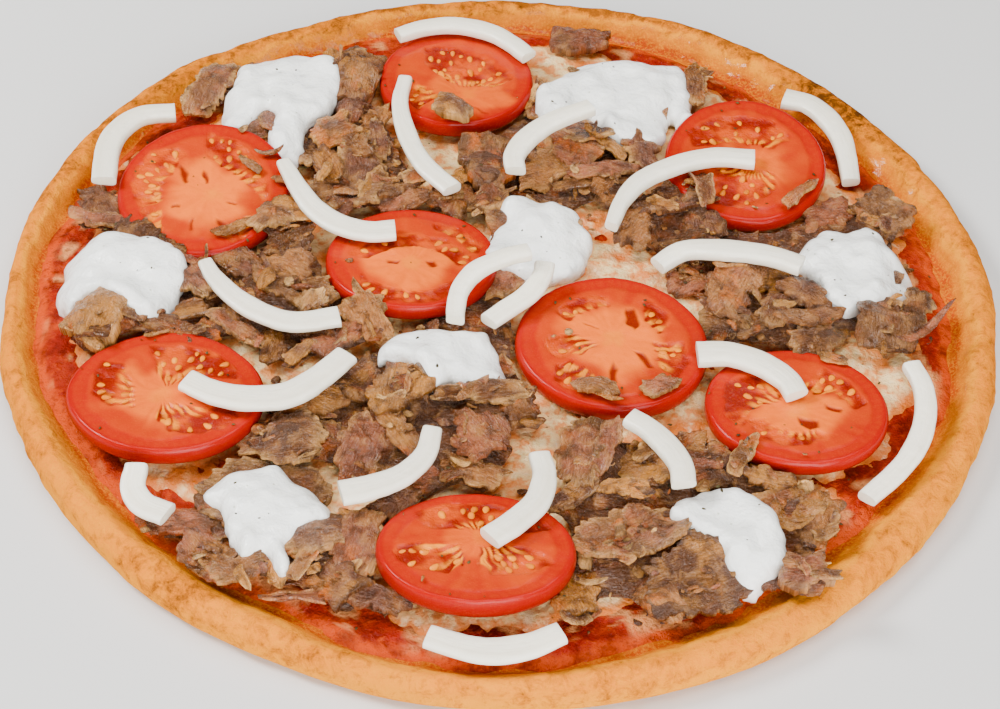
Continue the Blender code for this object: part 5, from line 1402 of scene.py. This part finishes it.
# Dollops: the outline as seen, in plan places
DOLLOPS = {
    "dollop_1": (
        (-93, 98), (-91, 108), (-84, 115), (-72, 116.5), (-61, 113), (-56, 104), (-55.5, 94), (-57, 86), (-60, 81),
        (-65, 77), (-65.5, 66), (-68, 60), (-74, 59), (-78, 66), (-78, 78), (-78.7, 84.5), (-83, 79), (-87, 73),
        (-93, 76), (-95.5, 84), (-94, 91),
    ),
    "dollop_2": (
        (23, 119), (30, 119), (37, 122), (50, 120), (54, 121), (59, 120), (61, 107), (61, 94), (61, 87), (56, 84.5),
        (54, 90), (50, 75), (44, 72), (38, 73), (31, 78), (27, 87), (20, 85), (10, 84.5), (7, 92), (9, 101), (14, 108),
    ),
    "dollop_3": (
        (-128, 22), (-114, 22), (-105, 17), (-101, 18), (-96, 10), (-95.5, 0), (-99, -13), (-104.5, -19), (-114, -11),
        (-119, -8), (-124.5, -6), (-130, -15), (-136, -1), (-135, 13),
    ),
    "dollop_4": (
        (-1, 44.5), (7, 46), (16, 44.5), (23, 41), (29, 29), (25.5, 19), (22, 13), (15, 11), (10, 6.6), (4, 11),
        (-5, 15), (-5, 24), (-3, 34),
    ),
    "dollop_5": (
        (-32, -20), (-27, -16.6), (-15, -15.4), (-3.4, -16), (0, -22), (1, -29), (4, -37), (-3, -41), (-14, -38),
        (-18, -45), (-21, -36), (-28, -30), (-35.5, -30), (-36, -25),
    ),
    "dollop_6": (
        (100, 36.6), (107.6, 35), (113, 38), (119, 34), (124, 27), (127.6, 18), (127.8, 7.6), (116, 3), (104.5, -4),
        (97, 2), (96.6, 11), (91, 18), (91, 24.5), (95, 32),
    ),
    "dollop_7": (
        (-76.6, -75), (-67, -72), (-60, -72), (-49, -81), (-44, -88), (-42, -94), (-52, -97), (-55, -102),
        (-52.8, -109), (-54.5, -112.5), (-59, -109.5), (-61, -104.5), (-67, -107), (-70, -102), (-73, -96),
        (-75, -87.6), (-81, -86.6), (-81, -80),
    ),
    "dollop_8": (
        (50, -79), (57, -75.5), (67, -73), (73, -77), (78, -83), (81, -90), (81, -99), (77, -105), (72, -109),
        (67, -108), (65, -102), (63, -97), (57, -95), (52, -90), (48, -84.5),
    ),
}


class PIZZA_OT_dollops(bpy.types.Operator):
    """Makes the dollops of garlic sauce"""

    bl_idname = "pizza.dollops"
    bl_label = "Garlic sauce"

    def execute(self, context):
        settings = context.scene.pizza_white
        finish = self.finish(settings)
        below = Ground("crust", "melted_cheese", *SLICES, *HEAPS)
        for number, (name, outline) in enumerate(DOLLOPS.items()):
            points, faces = self.blob(name, outline, number, below)
            colours = np.tile(settings.garlic, (len(points), 1))
            mesh_piece(name + "_sauce", points, faces, finish, colours, points, (name,))
        return {"FINISHED"}

    def finish(self, settings):
        finish = Finish(
            "garlic_sauce_gloss", Specular_IOR_Level=0.45, Subsurface_Weight=0.25, Subsurface_Scale=0.003,
            Subsurface_Radius=(1.0, 0.97, 0.9),
        )
        place = finish.place()
        cream, specks = finish.noise(place, 0.006, 4, 0.6), finish.cells(place, 0.0052)
        colour = finish.mix(cream.rise(0.5, 0.8) * 0.2, finish.attribute("tint"), GARLIC_CREAM)
        colour = finish.mix((1 - specks.rise(0.045, 0.085)) * 0.5, colour, GARLIC_SPECK)
        relief = finish.bump(cream + finish.noise(place, 0.0016, 3) * 0.35, 0.0011)
        return finish.wear(Base_Color=colour, Normal=relief, Roughness=0.14 + cream * 0.2)

    def blob(self, name, outline, number, below):
        """A thick puddle inside its outline that slumps over what it lies on."""
        low, high = (corner.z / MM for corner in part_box(name))
        outline = np.array([towards_eye(x, y, low + 3.5) for x, y in outline])
        start = outline.min(axis=0) - 2
        count = np.ceil((outline.max(axis=0) + 2 - start) / DOLLOP_STEP).astype(int) + 1
        x, y = np.meshgrid(*(start[k] + DOLLOP_STEP * np.arange(count[k]) for k in (0, 1)), indexing="ij")
        spot = np.column_stack([x.ravel(), y.ravel(), np.zeros(x.size)])
        edge = 1.0 * lumps(spot, 5, SEED + 121 + number) + 0.5 * lumps(spot, 2.2, SEED + 131 + number)
        depth = (inside_depth(spot[:, 0], spot[:, 1], outline) + edge).reshape(x.shape)
        floor = np.array([below.height(px, py, low) for px, py, _ in spot]).reshape(x.shape)
        for axis in (0, 1):
            floor = np.apply_along_axis(evened, axis, floor, DOLLOP_EVENING)
        swell = np.sqrt(np.clip(1 - (1 - np.clip(depth / DOLLOP_SHOULDER, 0, 1)) ** 2, 0, 1))
        folds = 1.3 * lumps(spot, 8, SEED + 141 + number) + 0.8 * lumps(spot, 3.6, SEED + 151 + number)
        top = floor + (DOLLOP_THICK + folds.reshape(x.shape)) * swell + 0.2
        top = np.minimum(top, high + 0.8)
        return self.closed(x, y, top, np.minimum(floor - 1.2, top - 0.8), depth > 0)

    def closed(self, x, y, top, under, inside):
        """Both skins of the puddle over the cells that lie inside, joined along their edge and softened."""
        number = np.full(x.shape, -1)
        cell = inside[:-1, :-1] & inside[1:, :-1] & inside[1:, 1:] & inside[:-1, 1:]
        used = np.zeros(x.shape, dtype=bool)
        for shift in ((0, 0), (1, 0), (1, 1), (0, 1)):
            used[shift[0]: x.shape[0] - 1 + shift[0], shift[1]: x.shape[1] - 1 + shift[1]] |= cell
        number[used] = np.arange(used.sum())
        upper = np.column_stack([x[used], y[used], top[used]])
        lower = np.column_stack([x[used], y[used], under[used]])
        count = len(upper)
        faces, edges = [], {}
        for i, j in np.argwhere(cell):
            face = [int(number[i, j]), int(number[i + 1, j]), int(number[i + 1, j + 1]), int(number[i, j + 1])]
            faces.append(face)
            faces.append([v + count for v in reversed(face)])
            for k, here in enumerate(face):
                edges[(here, face[(k + 1) % 4])] = True
        for here, following in edges:
            if (following, here) not in edges:
                faces.append([following, here, here + count, following + count])
        mesh = bpy.data.meshes.new("puddle")
        mesh.from_pydata((np.concatenate([upper, lower]) * MM).tolist(), [], faces)
        points, _, faces = softened_mesh(mesh, DOLLOP_STEP * MM, DOLLOP_SOFTEN)
        return points, faces


# Loose bits

# Single bits: kind, plan place, length, width, heading, height above what lies there, tone
LOOSE = (
    ("shred", 124, -18, 31, 3.2, 42, 3.5, "pink"), ("slab", 98, -30, 7.5, 4.2, -20, 0.8, "pink"),
    ("chip", -84, 61, 3.4, 2.4, 30, 0.8, "fat"), ("chip", 16, -26, 2.6, 1.9, 70, 0.6, "fat"),
    ("chip", 20, -24, 1.8, 1.4, 10, 0.6, "fat"), ("strip", -70, 38, 11, 3.4, -15, 1.4, "tan"),
    ("curl", -80, 45, 10, 4.0, -40, 1.6, "brown"), ("strip", -57, 44, 13, 3.6, 70, 1.6, "gold"),
    ("shred", -75, 50, 12, 2.4, 10, 1.4, "fat"), ("chip", 24, -54, 5.0, 3.4, 30, 1.0, "fat"),
    ("shred", 30, -49, 13, 2.8, -30, 1.6, "gold"), ("curl", 25, -105, 12, 5.0, 80, 2.0, "fat"),
)
CRUMBS, FLECKS = 340, 330
CRUMB_REACH, FLECK_REACH = 132, 136
CRUMB_TONES = ("tan", "brown", "gold", "fat", "grey")
HERB_DARK = (0.03, 0.02, 0.006)


class PIZZA_OT_loose(bpy.types.Operator):
    """Strews crumbs of meat and flecks of dried herb, and lays single bits"""

    bl_idname = "pizza.loose"
    bl_label = "Crumbs and herbs"

    def execute(self, context):
        settings = context.scene.pizza_meat
        low = ("tomato_sauce", "melted_cheese", *HEAPS)
        finish = meat_finish(settings)
        ground, under_slices = Ground(*low, *SLICES), Ground(*low)
        parts = []
        for number, (kind, x, y, size, width, heading, lift, tone) in enumerate(LOOSE):
            chance = random.Random(f"{SEED} loose {number}")
            x, y = towards_eye(x, y, READ_HEIGHT + lift)
            lie = (heading, 0, 0, (x, y, ground.height(x, y) + lift))
            parts.append(made_shaving(settings, chance, kind, size, width, tone, lie))
        points, faces, colours, grain = joined(parts)
        mesh_piece("loose_shavings", points, faces, finish, colours, grain)
        chance = random.Random(f"{SEED} crumbs")
        near = Ground(*HEAPS)
        parts = []
        while len(parts) < CRUMBS:
            x, y = self.spot(chance, CRUMB_REACH)
            close = any(near.hit(x + dx, y + dy) for dx, dy in ((7, 0), (-7, 0), (0, 7), (0, -7)))
            covered = ground.height(x, y) > under_slices.height(x, y) + 0.5
            if not close or (covered and chance.random() < 0.85):
                continue
            top = ground.height(x, y)
            size = chance.uniform(1.2, 3.6)
            lie = (chance.uniform(0, 360), chance.uniform(-20, 20), chance.uniform(-20, 20), (x, y, top + 0.3))
            tone = chance.choice(CRUMB_TONES)
            parts.append(made_shaving(settings, chance, "chip", size, size * chance.uniform(0.4, 0.8), tone, lie))
        points, faces, colours, grain = joined(parts)
        mesh_piece("meat_crumbs", points, faces, finish, colours, grain)
        self.flecks(context.scene.pizza_white, Ground(*low, *SLICES, *DOLLOPS))
        return {"FINISHED"}

    def spot(self, chance, reach):
        angle, radius = chance.uniform(0, math.tau), reach * math.sqrt(chance.random())
        return radius * math.cos(angle), radius * math.sin(angle)

    def flecks(self, settings, ground):
        """Flat flecks of dried herb."""
        chance = random.Random(f"{SEED} flecks")
        finish = Finish("dried_herb", Specular_IOR_Level=0.2, Roughness=0.7)
        body, faces = ellipsoid(1.0, 0.6, 0.3, 4, 6)
        parts = []
        while len(parts) < FLECKS:
            x, y = self.spot(chance, FLECK_REACH)
            found = ground.hit(x, y)
            if found is None:
                continue
            turn = found[1].to_track_quat("Z", "Y").to_matrix() @ Matrix.Rotation(chance.uniform(0, 6), 3, "Z")
            points = body * chance.uniform(0.5, 1.5) @ np.array(turn).T + np.array([x, y, found[0] + 0.12])
            shade = np.tile(np.array(settings.herb) * chance.uniform(0.5, 1.6), (len(points), 1))
            parts.append((points, faces, shade, points))
        points, faces, colours, _ = joined(parts)
        grain = finish.noise(finish.place(), 0.0006, 3)
        finish.wear(Base_Color=finish.mix(grain * 0.6, finish.attribute("tint"), HERB_DARK))
        mesh_piece("herb_flecks", points, faces, finish.material, colours)


# Stage

# Lights: name, place and diameter in metres, the setting that holds its power
LIGHTS = (
    ("key_light", (-0.75, 0.12, 0.8), 0.4, "key"),
    ("top_light", (0.15, 0.05, 1.1), 1.0, "top"),
    ("fill_light", (0.25, -0.95, 0.34), 0.9, "fill"),
)
FLOOR_HALF = 3.0
FLOOR_GAP = 0.0003
FLOOR_GREY = (0.6, 0.6, 0.6)


class PIZZA_OT_stage(bpy.types.Operator):
    """Makes the floor, the lights and the camera"""

    bl_idname = "pizza.stage"
    bl_label = "Stage"

    # The camera: where it looks, its distance, elevation and roll
    look = Vector((0.00033, -0.0185, 0.0))
    distance = 0.6769
    elevation = 44.84
    roll = 2.32

    def execute(self, context):
        settings = context.scene.pizza_stage
        self.floor(settings)
        for name, place, size, power in LIGHTS:
            self.light(name, place, size, getattr(settings, power))
        self.world()
        self.camera(settings)
        return {"FINISHED"}

    def floor(self, settings):
        finish = Finish("pale_floor", Roughness=0.7)
        grain = finish.noise(finish.place(), 0.02, 3)
        finish.wear(Base_Color=finish.mix(grain * 0.06, settings.floor, FLOOR_GREY))
        mesh = bpy.data.meshes.new("floor")
        corners = [(x * FLOOR_HALF, y * FLOOR_HALF, 0) for x, y in ((-1, -1), (1, -1), (1, 1), (-1, 1))]
        mesh.from_pydata(corners, [], [(0, 1, 2, 3)])
        mesh.materials.append(finish.material)
        floor = linked("floor", mesh)
        floor.location.z = CAD_BOX[0].z - FLOOR_GAP

    def light(self, name, place, size, power):
        data = bpy.data.lights.new(name, "AREA")
        data.shape = "DISK"
        data.size = size
        data.energy = power
        obj = linked(name, data)
        obj.location = place
        obj.rotation_euler = (-Vector(place)).to_track_quat("-Z", "Y").to_euler()

    def world(self):
        world = bpy.data.worlds.new("studio")
        world.use_nodes = True
        background = world.node_tree.nodes["Background"]
        background.inputs["Color"].default_value = (1.0, 0.98, 0.95, 1)
        background.inputs["Strength"].default_value = 0.06
        bpy.context.scene.world = world

    def camera(self, settings):
        data = bpy.data.cameras.new("camera")
        data.lens = settings.lens
        data.sensor_width = 36.0
        data.clip_start = 0.01
        obj = linked("camera", data)
        tilt = math.radians(self.elevation)
        place = self.look + Vector((0, -math.cos(tilt), math.sin(tilt))) * self.distance
        aim = (self.look - place).to_track_quat("-Z", "Y")
        obj.rotation_euler = (aim.to_matrix() @ Matrix.Rotation(math.radians(self.roll), 3, "Z")).to_euler()
        obj.location = place
        bpy.context.scene.camera = obj


# The add-on

MAKERS = (
    PIZZA_OT_dough, PIZZA_OT_spread, PIZZA_OT_tomatoes, PIZZA_OT_meat, PIZZA_OT_onions, PIZZA_OT_dollops,
    PIZZA_OT_loose, PIZZA_OT_stage,
)


class PIZZA_PT_panel(bpy.types.Panel):
    """Lists the makers and the settings"""

    bl_idname = "PIZZA_PT_panel"
    bl_label = "Doner kebab pizza"
    bl_space_type = "VIEW_3D"
    bl_region_type = "UI"
    bl_category = "Pizza"

    def draw(self, context):
        for maker in MAKERS:
            self.layout.operator(maker.bl_idname)
        for name, group in SETTINGS.items():
            box = self.layout.box()
            for label in group.__annotations__:
                box.prop(getattr(context.scene, name), label)


def register():
    for group in SETTINGS.values():
        bpy.utils.register_class(group)
    for name, group in SETTINGS.items():
        setattr(bpy.types.Scene, name, PointerProperty(type=group))
    for made in (*MAKERS, PIZZA_PT_panel):
        bpy.utils.register_class(made)


def unregister():
    for made in (PIZZA_PT_panel, *reversed(MAKERS)):
        bpy.utils.unregister_class(made)
    for name, group in SETTINGS.items():
        delattr(bpy.types.Scene, name)
        bpy.utils.unregister_class(group)


def main():
    register()
    for maker in MAKERS:
        family, name = maker.bl_idname.split(".")
        getattr(getattr(bpy.ops, family), name)()


if __name__ == "__main__":
    main()
